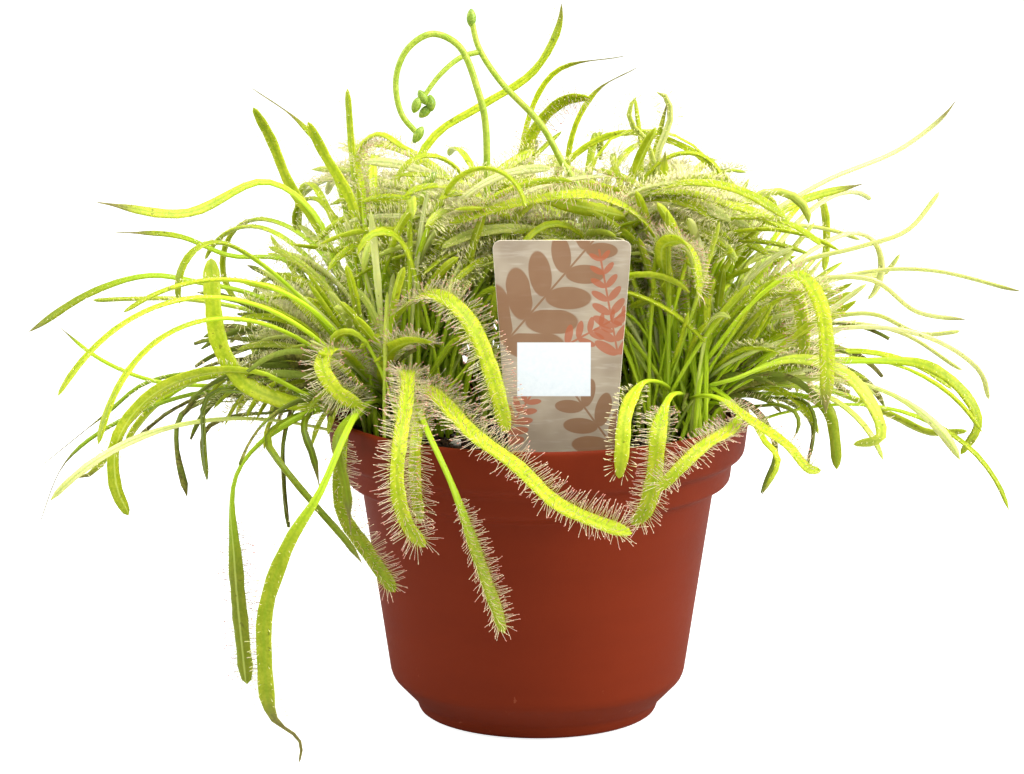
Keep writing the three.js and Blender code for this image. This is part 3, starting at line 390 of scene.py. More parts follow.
# The tufts of young leaves that each plant has: the sort, x, y, the middle heading and how many. Upright
# ones stand on the soil, a comb leans far out, a trail hangs down far out, and the matted sorts bend over
# the middle, to the side and close over the rim.
TUFTS = {
    "left": [
        ("upright", -31, -7, 0, 40), ("upright", -22, -9, 0, 30), ("upright", -35, 2, 0, 20),
        ("upright", -20, 4, 0, 20), ("upright", -12, 6, 0, 14), ("upright", -29, -18, 0, 10),
        ("comb", -28, -5, 190, 20), ("side mat", -32, -8, 195, 30), ("trail", -34, -6, 190, 18),
        ("mat skirt", -33, -8, 198, 28), ("matted", -31, -6, 10, 22)],
    "right": [
        ("upright", 31, -9, 0, 46), ("upright", 24, -14, 0, 26), ("upright", 37, 0, 0, 26),
        ("upright", 24, 4, 0, 20), ("upright", 33, -19, 0, 14), ("upright", 14, 10, 0, 12),
        ("comb", 27, -5, -8, 54), ("side mat", 32, -10, -15, 14), ("trail", 33, -6, -4, 16),
        ("mat skirt", 33, -8, -20, 6), ("matted", 30, -8, 170, 22)],
    "back": [
        ("upright", 3, 13, 0, 14), ("upright", 13, 20, 0, 12), ("upright", -9, 20, 0, 12),
        ("upright", 26, 20, 0, 12), ("upright", -24, 18, 0, 12),
        ("comb", 4, 26, 90, 30), ("side mat", 6, 22, 80, 12), ("trail", 5, 24, 85, 6),
        ("mat skirt", 8, 24, 80, 4), ("matted", 3, 13, -90, 62)],
}


# ---------- small helpers
def smooth(low, high, value):
    """0 before low, 1 after high, and an even S between them."""
    t = np.clip((value - low) / (high - low), 0, 1)
    return t * t * (3 - 2 * t)


def unit(vectors):
    """The vectors over their lengths."""
    return vectors / np.maximum(np.linalg.norm(vectors, axis=-1, keepdims=True), 1e-9)


def angles(count, shift=0.0):
    """Even angles round a circle, the first at the shift times their step."""
    return 2 * np.pi * (np.arange(count) + shift) / count


def directions_round(side, other, around):
    """The directions round a rod, side cos a + other sin a: from (..., 3) to (..., around, 3)."""
    angle = angles(around)[:, None]
    return side[..., None, :] * np.cos(angle) + other[..., None, :] * np.sin(angle)


def random_source(seed):
    """The CAD model's generator: the state becomes state * 1664525 + 1013904223 mod 2^32, and the number is
    the state over 2^32."""
    state = [seed]

    def draw():
        state[0] = (state[0] * 1664525 + 1013904223) & 0xFFFFFFFF
        return state[0] / 4294967296

    return draw


def colour(red, green, blue):
    """A screen colour of three numbers from 0 to 255 as the light it stands for."""
    share = np.array([red, green, blue]) / 255
    light = np.where(share <= 0.04045, share / 12.92, ((share + 0.055) / 1.055) ** 2.4)
    return (*light.tolist(), 1.0)


# ---------- the lines that leaves and stalks follow
def curve_points(points, count):
    """A centripetal Catmull-Rom curve through the points, at count + 1 even parameters: each span is the
    cubic whose end slopes weigh the neighbouring chords by the square roots of their lengths."""
    p = np.array(points, float)
    p = np.vstack([2 * p[0] - p[1], p, 2 * p[-1] - p[-2]])
    at = np.arange(count + 1) / count * (len(p) - 3)
    span = np.minimum(at.astype(int), len(p) - 4)
    w = (at - span)[:, None]
    a, b, c, d = (p[span + i] for i in range(4))
    before, here, after = (((y - x) ** 2).sum(1, keepdims=True) ** 0.25 for x, y in ((a, b), (b, c), (c, d)))
    slope_b = ((b - a) / before - (c - a) / (before + here) + (c - b) / here) * here
    slope_c = ((c - b) / here - (d - b) / (here + after) + (d - c) / after) * here
    square = 3 * (c - b) - 2 * slope_b - slope_c
    cube = 2 * (b - c) + slope_b + slope_c
    return b + slope_b * w + square * w**2 + cube * w**3


def even_steps(points):
    """The same line cut into PATH_STEPS pieces of one length, and its whole length."""
    run = np.concatenate([[0], np.cumsum(np.linalg.norm(np.diff(points, axis=0), axis=1))])
    want = run[-1] * np.arange(PATH_STEPS + 1) / PATH_STEPS
    return np.stack([np.interp(want, run, points[:, k]) for k in range(3)], 1), run[-1]


def listed_path(crown, rooted, listed):
    """A listed leaf's line: root on the crown, a steeper second point, then its own points."""
    points = np.array(listed, float)
    outward = unit((points[0] - crown) * (1, 1, 0))
    root = crown + outward * rooted[0] + (0, 0, rooted[1])
    reach = points[0] - root
    second = root + 0.3 * reach + (0, 0, 0.14 * np.linalg.norm(reach))
    return even_steps(curve_points([root, second, *points], SPAN_STEPS * (len(points) + 1)))


def listed_leaf(crown, row, **others):
    """A leaf from a row of the tables."""
    columns = dict(zip(("petiole", "twist", "width", "hairy", "dry", "shade"), row))
    path, length = listed_path(crown, LEAF_ROOT, row[-1])
    return dict(columns, path=path, length=length, vary=0.35, **others)


def rule_paths(crown, rooted, habits):
    """Lines of the rule, one a row of habits: the rise at the share u is lift - droop u^1.5 - curl tip^1.5
    and the heading turns by sway u^1.3. Each step adds (cos rise cos way, cos rise sin way, sin rise) times
    its length."""
    heading, lift, droop, sway, curl, length = np.array(habits).T[:, :, None]
    u = (np.arange(PATH_STEPS) + 0.5) / PATH_STEPS
    tip = np.maximum(0, (u - 0.66) / 0.34)
    rise = lift - droop * u**1.5 - curl * tip**1.5
    way = heading + sway * u**1.3
    steps = np.stack([np.cos(rise) * np.cos(way), np.cos(rise) * np.sin(way), np.sin(rise)], 2)
    steps *= length[:, :, None] / PATH_STEPS
    start = np.stack([np.cos(heading) * rooted[0], np.sin(heading) * rooted[0], heading * 0 + rooted[1]], 2)
    return np.concatenate([start + crown, start + crown + np.cumsum(steps, 1)], 1)


def leaf_habit(index, count, random):
    """Heading, lift, droop, sway, curl and length of a leaf of a rosette: an older one starts lower, droops
    more and is longer, and each heading is a golden angle on from the last."""
    age = (index + 0.5) / count
    heading = index * GOLDEN_ANGLE + (random() - 0.5) * 0.9
    lift = math.radians(88 - 38 * age + 16 * (random() - 0.5))
    droop = math.radians(30 + 70 * age + 60 * (random() - 0.5))
    sway = math.radians(70 * (random() - 0.5))
    curl = math.radians(150) * max(0, random() - 0.55) / 0.45
    return heading, lift, droop, sway, curl, 58 + 26 * age + 26 * random()


def matted_habit(inward, random):
    """The same of a leaf that rises and bends over the middle of the pot."""
    heading = math.radians(inward + 200 * (random() - 0.5))
    lift = math.radians(80 + 12 * random())
    droop = math.radians(85 + 50 * random())
    sway = math.radians(120 * (random() - 0.5))
    return heading, lift, droop, sway, 0, 72 + 22 * random()


def withered_habit(index, random):
    """The same of a short dead leaf that hangs from the foot."""
    heading = index * GOLDEN_ANGLE + 1.1 + (random() - 0.5) * 1.2
    lift = math.radians(24 + 24 * random())
    droop = math.radians(60 + 70 * random())
    sway = math.radians(60 * (random() - 0.5))
    return heading, lift, droop, sway, 0, 24 + 30 * random()


def are_allowed(paths):
    """For each line, whether it stays in the plant's dome, clear of soil, rim and floor, and out of the room
    before the label and the pot."""
    x, y, z = np.moveaxis(paths[:, 5:], 2, 0)
    across = np.hypot(x, y)
    beyond_soil = np.where(across < RIM_RADIUS + RIM_OUTSIDE, OVER_RIM, OVER_FLOOR)
    lowest = np.where(across < RIM_RADIUS - RIM_INSIDE, OVER_SOIL, beyond_soil)
    before_label = (y < LABEL_ROOM_FRONT) & (z < LABEL_TOP + LABEL_ROOM_TOP)
    before_label &= abs(x - LABEL_PIVOT[0]) < LABEL_ROOM_WIDTH
    before_pot = (y < POT_ROOM_FRONT) & (abs(x) < POT_ROOM_WIDTH)
    in_dome = np.hypot(x / DOME_WIDTH, (z - SOIL_LEVEL) / DOME_HEIGHT) < 1
    return ((z >= lowest) & in_dome & ~before_label & ~before_pot).all(1)


def nearest(paths, others):
    """Each line's least distance to the other points, from |a - b|^2 = |a|^2 + |b|^2 - 2 a.b."""
    if not len(others):
        return np.full(len(paths), FAR_AWAY)
    flat = paths.reshape(-1, 3)
    squares = (flat**2).sum(1)[:, None] + (others**2).sum(1) - 2 * flat @ others.T
    least = squares.min(1).reshape(len(paths), -1).min(1)
    return np.minimum(FAR_AWAY, np.sqrt(np.maximum(least, 0)))


def listed_plant(crown):
    """A crown with its listed leaves, its listed withered leaves and its source of random numbers."""
    at = np.array(crown["at"], float)
    leaves = [listed_leaf(at, row) for row in crown["listed"]]
    lines = [listed_path(at, WITHERED_ROOT, points) for points in crown["listed_withered"]]
    withered = [dict(path=path, length=length) for path, length in lines]
    return dict(crown, at=at, random=random_source(crown["seed"]), leaves=leaves, withered=withered)


def grow_plants(stalk_points):
    """The CAD model's rule: the listed leaves first, then in turns one leaf for each crown. Of CANDIDATES
    draws the one with the most room among its own kind is kept, if it clears the other plants and the
    stalks."""
    plants = [listed_plant(crown) for crown in CROWNS]
    for turn in range(MOST_TURNS):
        for plant in plants:
            random, index = plant["random"], turn - plant["matted"]
            kind, rooted, hairy, shade = "leaves", LEAF_ROOT, 0.45, 0.45
            if index < 0:
                habits = [matted_habit(plant["inward"], random) for _ in range(CANDIDATES)]
                hairy, shade = 0.85, -0.1
            elif index < plant["extra"]:
                habits = [leaf_habit(index, plant["extra"], random) for _ in range(CANDIDATES)]
            elif index < plant["extra"] + plant["dead"]:
                habits = [withered_habit(index - plant["extra"], random) for _ in range(CANDIDATES)]
                kind, rooted = "withered", WITHERED_ROOT
            else:
                continue
            others = [leaf["path"][3:] for other in plants for sort in ("leaves", "withered")
                      if other is not plant or sort != kind for leaf in other[sort]]
            own = [leaf["path"][9:] for leaf in plant[kind]]
            paths = rule_paths(plant["at"], rooted, habits)
            gap = nearest(paths[:, 2:], np.vstack([*others, stalk_points]))
            clear = are_allowed(paths) & (gap >= OTHER_PLANT_GAP)
            if clear.any():
                room = np.where(clear, nearest(paths[:, 9:], np.vstack(own) if own else own), -1)
                best = int(room.argmax())
                plant[kind].append(dict(path=paths[best], length=habits[best][5], petiole=0.56, twist=0,
                                        width=3.3, hairy=hairy, dry=0, vary=1, shade=shade))
    return plants


# ---------- turning rows of points into meshes
def skin(rows, around):
    """Faces of one closed tube of rows * around points, row by row, with a pole point at each end after
    them. Gives the squares, the end triangles and the (share along, share around) of every corner. The
    share along is 0 and 1 at the poles and row k of the rows has (k + 1) / (rows + 1)."""
    row, col = np.meshgrid(np.arange(rows - 1), np.arange(around), indexing="ij")
    row, col = row.ravel()[:, None], col.ravel()[:, None]
    far_row, far_col = row + [0, 0, 1, 1], col + [0, 1, 1, 0]
    squares = far_row * around + far_col % around
    squares_uv = np.stack([(far_row + 1) / (rows + 1), far_col / around], 2)
    side = np.arange(around)
    ends, last = rows * around, (rows - 1) * around
    first_end = np.stack([(side + 1) % around, side, side * 0 + ends], 1)
    last_end = np.stack([last + side, last + (side + 1) % around, side * 0 + ends + 1], 1)
    corner = np.stack([side, side + 1, side + 0.5], 1) / around
    along = np.array([1, 1, 0]) / (rows + 1) + 0 * corner
    first_uv = np.stack([along, corner[:, [1, 0, 2]]], 2)
    last_uv = np.stack([1 - along, corner], 2)
    return squares, np.vstack([first_end, last_end]), squares_uv, np.vstack([first_uv, last_uv])


def tubes(points, poles, bands=True):
    """Many tubes in one mesh: points is (tube, row, around, 3) and poles (tube, 2, 3). Each tube's corners
    get their own band of the UV square, or with bands False its whole height."""
    count, rows, around, _ = points.shape
    squares, triangles, squares_uv, triangles_uv = skin(rows, around)
    offset = (np.arange(count) * (rows * around + 2))[:, None, None]
    vertices = np.concatenate([points.reshape(count, -1, 3), poles], 1).reshape(-1, 3)
    low = np.arange(count)[:, None, None] / count if bands else np.zeros((count, 1, 1))
    high = 0.94 / count if bands else 1.0

    def placed(uv):
        """The corners of one tube's faces as those of every tube, each in its band."""
        u = np.broadcast_to(0.01 + 0.98 * uv[None, :, :, 0], (count, *uv.shape[:2]))
        return np.stack([u, low + 0.03 * high + high * uv[None, :, :, 1]], 3).reshape(-1, uv.shape[1], 2)

    faces = [(squares + offset).reshape(-1, 4), (triangles + offset).reshape(-1, 3)]
    return vertices, faces, [placed(squares_uv), placed(triangles_uv)]


def joined(*parts):
    """Several (vertices, faces, uv) in one, each on its own strip of the UV square by its number of faces."""
    start, low, vertices, faces, uvs = 0, 0.0, [], [], []
    total = sum(len(f) for part in parts for f in part[1])
    for points, some, uv in parts:
        share = sum(len(f) for f in some) / total
        vertices.append(points)
        faces += [f + start for f in some]
        uvs += [u * (1, share) + (0, low) for u in uv]
        start += len(points)
        low += share
    return np.vstack(vertices), faces, uvs


def make_piece(name, shape, material, stands_for=(), values=None, flat=False):
    """A mesh object from (vertices in mm, faces by their number of corners, uv of every corner), with one
    float attribute a vertex for each of the values. It rides on the one body."""
    vertices, faces, uvs = shape
    mesh = bpy.data.meshes.new(name)
    mesh.vertices.add(len(vertices))
    mesh.vertices.foreach_set("co", (vertices * MM).astype(np.float32).ravel())
    corners = np.concatenate([f.ravel() for f in faces]).astype(np.int32)
    sizes = np.concatenate([np.full(len(f), f.shape[1]) for f in faces])
    mesh.loops.add(len(corners))
    mesh.loops.foreach_set("vertex_index", corners)
    mesh.polygons.add(len(sizes))
    mesh.polygons.foreach_set("loop_start", (np.cumsum(sizes) - sizes).astype(np.int32))
    mesh.polygons.foreach_set("use_smooth", np.full(len(sizes), not flat))
    mesh.update(calc_edges=True)
    layer = mesh.uv_layers.new(name=UV)
    layer.uv.foreach_set("vector", np.concatenate([u.reshape(-1) for u in uvs]).astype(np.float32))
    for key, numbers in (values or {}).items():
        layer = mesh.attributes.new(key, "FLOAT", "POINT")
        layer.data.foreach_set("value", numbers.astype(np.float32).ravel())
    mesh.materials.append(material)
    piece = bpy.data.objects.new(name, mesh)
    bpy.context.scene.collection.objects.link(piece)
    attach(piece, "root")
    if stands_for:
        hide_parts(*stands_for)
    return piece


def rounded(profile, radius, steps=4):
    """A half outline with its inner corners rounded: each corner becomes the parabola between the two points
    that lie radius before and after it, or a third of the way along a shorter side."""
    p = np.array(profile, float)
    rows = [p[:1]]
    w = np.linspace(0, 1, steps)[:, None]
    for before, corner, after in zip(p[:-2], p[1:-1], p[2:]):
        back, on = before - corner, after - corner
        a = corner + back * min(radius / np.linalg.norm(back), 0.34)
        b = corner + on * min(radius / np.linalg.norm(on), 0.34)
        rows.append((1 - w) ** 2 * a + 2 * w * (1 - w) * corner + w**2 * b)
    return np.vstack([*rows, p[-1:]])


def turned(profile, sides):
    """A half outline of (radius, z), from axis to axis, turned round the axis: points (r cos a, r sin a, z).
    Its two ends are the poles. Both come as the points and poles of one tube."""
    angle = angles(sides)
    r, z = profile[1:-1].T
    points = np.stack([np.outer(r, np.cos(angle)), np.outer(r, np.sin(angle)), z[:, None] + 0 * angle], 2)
    ends = np.array([[0, 0, profile[0][1]], [0, 0, profile[-1][1]]])
    return points[None], ends[None]


# ---------- leaf surfaces
def spread(values, shares):
    """Rows of (leaf, PATH_STEPS + 1, n) at the shares of the path, by the cubic through four neighbouring
    rows whose slope at a row is half the step between its two neighbours."""
    at = np.clip(shares * PATH_STEPS, 0, PATH_STEPS - 1e-6)
    k = at.astype(int)
    w = (at - k)[None, :, None]
    a, b, c, d = (values[:, np.clip(k + i, 0, PATH_STEPS)] for i in (-1, 0, 1, 2))
    return b + 0.5 * w * ((c - a) + w * ((2 * a - 5 * b + 4 * c - d) + w * (3 * (b - c) + d - a)))


def leaf_frames(paths, twists):
    """The directions of a leaf's width and of its underside at each step. The width starts level, square to
    the leaf's heading, is kept square to the path without turning about it, and is then turned by the
    twist."""
    steps = [paths[:, 1:2] - paths[:, :1], paths[:, 2:] - paths[:, :-2], paths[:, -1:] - paths[:, -2:-1]]
    along = unit(np.concatenate(steps, 1))
    heading = paths[:, PATH_STEPS // 2] - paths[:, 0]
    across = np.stack([-heading[:, 1], heading[:, 0], heading[:, 0] * 0], 1)
    carried = []
    for k in range(PATH_STEPS + 1):
        across = unit(across - along[:, k] * (across * along[:, k]).sum(1, keepdims=True))
        carried.append(across)
    across = np.stack(carried, 1)
    turn = np.radians(twists)[:, None] * smooth(0.1, 0.7, np.arange(PATH_STEPS + 1) / PATH_STEPS)
    wide = across * np.cos(turn)[..., None] + np.cross(across, along) * np.sin(turn)[..., None]
    return wide, np.cross(wide, along)


def leaf_widths(stalk, petiole, width, length, u):
    """The stalk's width up to the blade, the blade's width beyond, and a round tip: times
    sqrt(1 - (1 - d / TIP_LENGTH)^2) at the distance d from the end."""
    blade = smooth(petiole - 0.06, petiole + 0.16, u)
    full = stalk + (width - stalk) * blade
    from_tip = np.clip((1 - u) * length / TIP_LENGTH, 0, 1)
    return np.maximum(0.2, full * np.sqrt(1 - (1 - from_tip) ** 2)), blade


class Foliage:
    """The leaves of one plant as arrays: path, directions and measures, one row a leaf. The tint is paler
    for a lighter shade, and leaves that reach far out get painted light: a paler tint away from the clump."""

    def __init__(self, leaves, rng):
        self.paths = np.stack([leaf["path"] for leaf in leaves])
        leaves = [{"stalk": STALK_WIDTH, **leaf} for leaf in leaves]
        for key in ("length", "stalk", "petiole", "twist", "width", "hairy", "dry", "shade", "vary"):
            setattr(self, key, np.array([leaf[key] for leaf in leaves], float)[:, None])
        self.wide, self.under = leaf_frames(self.paths, self.twist[:, 0])
        tint = 0.72 - 0.62 * self.shade + self.vary * rng.uniform(-0.22, 0.28, (len(leaves), 1))
        x = self.paths[:, :, 0]
        furthest = np.maximum(x.max(1), 0.8 * abs(x).max(1))
        # Painted light: leaves that reach far out of the clump get a paler tint for the open light there.
        outer = smooth(52, 88, furthest)[:, None]
        self.tint = np.clip(tint + 0.5 * outer * (self.shade < 0.6), 0, 1)
        self.wave = rng.uniform(0, 2 * np.pi, (len(leaves), 3))


def leaf_blades(leaves, rows, around):
    """Strap leaves with a channel above and a midrib below. At the angle a round the section the point is
    wide * half * cos a plus, above, a low arch less a channel exp(-(s / 0.34)^2), and below, a deeper arch
    plus a rib exp(-(s / 0.2)^2), with s = cos a. The edges ripple by a few hundredths of the width."""
    u = 1 - (1 - np.linspace(0, 1, rows)) ** 1.25
    width, blade = leaf_widths(leaves.stalk, leaves.petiole, leaves.width, leaves.length, u)
    run = u * leaves.length
    ripple = 0.05 * np.sin(run * 0.55 + leaves.wave[:, :1]) + 0.04 * np.sin(run * 1.3 + leaves.wave[:, 1:2])
    live = 1 - leaves.dry
    shrunk = 1 - 0.78 * smooth(live - 0.04, live + 0.04, u) * (leaves.dry > 0)
    half = width / 2 * (1 + ripple * blade) * shrunk
    end = np.minimum(1, half / 0.8)[:, :, None]
    centre, wide, under = (spread(v, u) for v in (leaves.paths, leaves.wide, leaves.under))
    wide, under = unit(wide), unit(under)
    angle = angles(around, 0.5)
    s, high = np.cos(angle), np.abs(np.sin(angle))
    above = np.sin(angle) > 0
    blade = blade[:, :, None]
    top = (0.42 - 0.1 * blade) * high**0.8 - 0.2 * blade * np.exp(-((s / 0.34) ** 2))
    rib = (0.5 - 0.12 * blade) * high + (0.1 + 0.16 * blade) * np.exp(-((s / 0.2) ** 2))
    lift = np.where(above, -top, rib) * end
    points = (centre[:, :, None] + wide[:, :, None] * (half[:, :, None] * s)[..., None]
              + under[:, :, None] * lift[..., None])
    first, before_last, last = (leaves.paths[:, k] for k in (0, -2, -1))
    poles = np.stack([first, last + 0.12 * unit(last - before_last)], 1)

    def laid(numbers):
        """One number a vertex, the poles' last."""
        each = np.broadcast_to(numbers, (*half.shape, around)).reshape(len(half), -1)
        return np.concatenate([each, each[:, :1], each[:, -1:]], 1).ravel()

    dried = smooth(live - 0.05, live + 0.03, u) * (leaves.dry > 0)
    values = dict(
        along=laid(u[None, :, None]),
        blade=laid(blade),
        across=laid(np.where(above, s, 2 + s)),
        tint=laid(leaves.tint[:, :, None]),
        dried=laid(dried[:, :, None]),
    )
    return tubes(points, poles), values


def young_leaves(plant, rng):
    """The thin stalks and narrow blades that fill a plant, tuft by tuft, by rule_paths, and then its strays.
    Of the lines drawn for a tuft the first ones are kept that are_allowed, that stay within their sort's
    reach and the plant's depth, and that don't cross the room before the broad leaf that curls up."""
    found = []
    for name, x, y, middle, count in TUFTS[plant["name"]]:
        sort, mat = SORTS[name], "mat" in name
        even = rng.uniform(0, 1, (11, count * TRIES))
        heading = np.radians(middle + sort.turn * (even[0] - 0.5))
        lift = np.radians(sort.least_lift + (sort.most_lift - sort.least_lift) * even[1] ** 0.7)
        droop = np.radians(sort.least_droop + sort.more_droop * even[2] ** 1.5)
        sway = np.radians(sort.sway * (even[3] - 0.5))
        curl = np.radians(150) * np.maximum(0, even[4] - 0.6) / 0.4 * (name == "upright")
        length = sort.shortest + (sort.longest - sort.shortest) * even[5]
        foot = np.stack([x + 9 * (even[9] - 0.5), y + 9 * (even[10] - 0.5), 62 + 0 * even[0]], 1)
        paths = rule_paths(foot[:, None], (1.2, 0.0), np.stack([heading, lift, droop, sway, curl, length], 1))
        out, up = sort.out, sort.up
        if plant["name"] == "left" and name == "upright":
            out = LEFT_UPRIGHT_OUT
        if plant["name"] == "back":
            up = BACK_UPRIGHT_UP if name == "upright" else min(up, BACK_UP)
        x_at, y_at, z_at = np.moveaxis(paths, 2, 0)
        near = (abs(x_at).max(1) < out) & (z_at.max(1) < up) & (abs(y_at - MIDDLE_Y).max(1) < HALF_DEPTH)
        before_curl = (abs(x_at - CURL_X) < CURL_ROOM_WIDTH) & (y_at < CURL_ROOM_FRONT)
        near &= ~(before_curl & (z_at > CURL_ROOM_FOOT)).any(1)
        size = even[6] * (not mat)
        petiole = (0.34 if mat else 0.5) + 0.25 * size
        width = 1.6 + 0.7 * size
        shade = 0.4 * even[8] - 0.17 if mat else 0.5 * even[8] - 0.05
        if name in ("trail", "mat skirt"):
            shade = 0.2 + 0.6 * even[8]
        for k in np.flatnonzero(are_allowed(paths) & near)[:count]:
            found.append(dict(path=paths[k], length=length[k], petiole=petiole[k], width=width[k],
                              twist=(even[7][k] - 0.5) * 140, stalk=YOUNG_STALK_WIDTH,
                              hairy=0.95 if mat else 0.35, dry=0, vary=1, shade=shade[k]))
    for row in plant["strays"]:
        found.append(listed_leaf(plant["at"], row, stalk=min(row[2], YOUNG_STALK_WIDTH)))
    return found


def face_front(leaves):
    """Turns the hairy leaves that lie high across the plant, so that their upper sides look forward as they
    would towards the light: by FACING_TURN degrees times the leaf's heading to the left, and by 0.3 of
    their own twist."""
    for leaf in leaves:
        path = leaf["path"]
        if leaf["hairy"] >= 0.85 and path[:, 2].mean() > FACING_HEIGHT:
            heading = unit((path[PATH_STEPS // 2] - path[0]) * (1, 1, 0))
            leaf["twist"] = leaf["twist"] * 0.3 - FACING_TURN * heading[0]
    return leaves


# ---------- tentacles
# The sorts on a blade's upper face: how far out they stand as a share of its half width and how unevenly,
# their angle over the face in degrees, the longest in mm, and how many a mm.
TENTACLE_SORTS = [(0.95, 0.07, 12, 2.8, 5.4), (0.6, 0.18, 58, 1.7, 2.6), (0.3, 0.18, 78, 1.1, 1.8)]
TILT_SCATTER = 14


def tentacle_lines(leaves, rng, crowd=1.0):
    """Where the tentacles of a plant stand: their feet, ways, bends and reaches, and the leaf of each. The
    hairy leaves have all three sorts, the others two. A tentacle leaves at an angle e over the face:
    direction = wide * side * cos e + up * sin e + along * lean, and at the leaf's end it turns to point
    along it."""
    found = []
    for k in range(len(leaves.paths)):
        hairy, petiole, length = leaves.hairy[k, 0], leaves.petiole[k, 0], leaves.length[k, 0]
        if hairy <= 0:
            continue
        begin, finish = petiole + 0.01, 1 - max(0.01, leaves.dry[k, 0] * 0.9)
        run = (finish - begin) * length
        dense = crowd * (1.0 if hairy >= HAIRY else hairy**1.5)
        for inward, uneven, tilt, longest, per_mm in TENTACLE_SORTS[:3 if hairy >= HAIRY else 2]:
            count = int(run * (per_mm * dense))
            if count < 2:
                continue
            u = begin + (finish - begin) * (np.arange(count) + rng.uniform(0, 1, count)) / count
            side = np.where(np.arange(count) % 2 == 0, 1.0, -1.0)
            place = side * np.clip(inward + rng.normal(0, uneven, count), 0, 1)
            angle = np.radians(tilt + rng.normal(0, TILT_SCATTER, count))
            grown = 0.45 + 0.55 * smooth(0, 0.16, (u - begin) / (finish - begin))
            reach = longest * hairy * rng.uniform(0.78, 1.12, count) * grown
            found.append(np.stack([np.full(count, k), u, place, side, angle, reach], 1))
    k, u, place, side, angle, reach = np.vstack(found).T
    k = k.astype(int)
    at = np.clip(u * PATH_STEPS, 0, PATH_STEPS - 1e-6)
    step = at.astype(int)
    w = (at - step)[:, None]
    here = [v[k, step] * (1 - w) + v[k, step + 1] * w for v in (leaves.paths, leaves.wide, leaves.under)]
    centre, wide, up = here[0], unit(here[1]), -unit(here[2])
    along = np.cross(wide, up)
    length = leaves.length[k, 0]
    width, _ = leaf_widths(leaves.stalk[k, 0], leaves.petiole[k, 0], leaves.width[k, 0], length, u)
    arch = 0.24 * np.sqrt(np.maximum(0, 1 - place**2)) + 0.02
    base = centre + wide * (place * width / 2)[:, None] + up * arch[:, None]
    to_end = smooth(2.6, 0, (1 - u) * length) * 1.25
    lean = 0.16 + rng.normal(0, 0.16, len(u)) + to_end
    sideways = side * np.cos(angle) * (1 - 0.65 * to_end)
    way = wide * sideways[:, None] + up * np.sin(angle)[:, None] + along * lean[:, None]
    bend = up * 0.16 + rng.normal(0, 0.12, (len(u), 3))
    return base, unit(way), bend, reach, k


def tentacles(lines, fine=True):
    """Tapered three-sided stalks with a gland. At the share s of its reach a tentacle is at
    base + reach (s way + s^2 bend). Its rings have the radii 0.065 and 0.04 mm and, in the gland, 0.11 mm.
    Those that aren't fine have one ring of 0.09 mm, where the gland begins."""
    base, way, bend, reach, _ = lines
    shares, radii = ((0, 0.88, 1), (0.065, 0.04, 0.11)) if fine else ((0.9,), (0.09,))
    shares, radii = np.array(shares, float), np.array(radii)
    square_to = np.where(np.abs(way[:, 2:]) < 0.9, [[0.0, 0.0, 1.0]], [[1.0, 0.0, 0.0]])
    side = unit(np.cross(way, square_to))
    ring = directions_round(side, np.cross(way, side), 3)
    out = reach[:, None] * shares
    spine = base[:, None] + way[:, None] * out[..., None] + bend[:, None] * (out * shares)[..., None]
    points = spine[:, :, None] + ring[:, None] * radii[None, :, None, None]
    return tubes(points, np.stack([base, spine[:, -1] + way * 0.18], 1), bands=False)


def plant_tentacles(name, lines, rng, tints, fine=True, most=20000):
    """The tentacles as pieces of at most so many, each with its share along and its own tint in the UV
    square. The first row of a fine one has the share FIRST_RING_SHARE, where the others have their foot."""
    count = math.ceil(len(lines[0]) / most)
    pieces = np.array_split(np.arange(len(lines[0])), count) if count else []
    for number, some in enumerate(pieces, 1):
        vertices, faces, uvs = tentacles([part[some] for part in lines], fine)
        tint = rng.uniform(*tints, len(some))[:, None, None]
        placed = []
        for uv in uvs:
            each = uv.reshape(len(some), -1, uv.shape[1], 2)
            share, round_it = each[..., 0], each[..., 1]
            if not fine:
                share = np.maximum(share, FIRST_RING_SHARE + 0.5 * share)
            placed.append(np.stack([share, tint + 0.05 * round_it], 3).reshape(uv.shape))
        make_piece(f"{name}_{number}", (vertices, faces, placed), hair_skin)


# ---------- withered leaves, stems and crowns
def fallen_leaves(at, rng, outward, count):
    """Dead leaves that hang about a plant's foot, most of them outward over the rim, by rule_paths, kept
    where are_allowed."""
    even = rng.uniform(0, 1, (7, 700))
    heading = np.radians(outward + 230 * (even[0] - 0.5))
    lift = np.radians(30 + 34 * even[1])
    droop = np.radians(45 + 75 * even[2])
    sway = np.radians(110 * (even[3] - 0.5))
    length = 20 + 36 * even[4]
    foot = at + np.stack([8 * (even[5] - 0.5), 8 * (even[6] - 0.5), 0 * heading - 1.5], 1)
    habits = np.stack([heading, lift, droop, sway, 0 * heading, length], 1)
    paths = rule_paths(foot[:, None], (2.5, 0.0), habits)
    kept = np.flatnonzero(are_allowed(paths))[:count]
    return [dict(path=paths[k], length=length[k]) for k in kept]


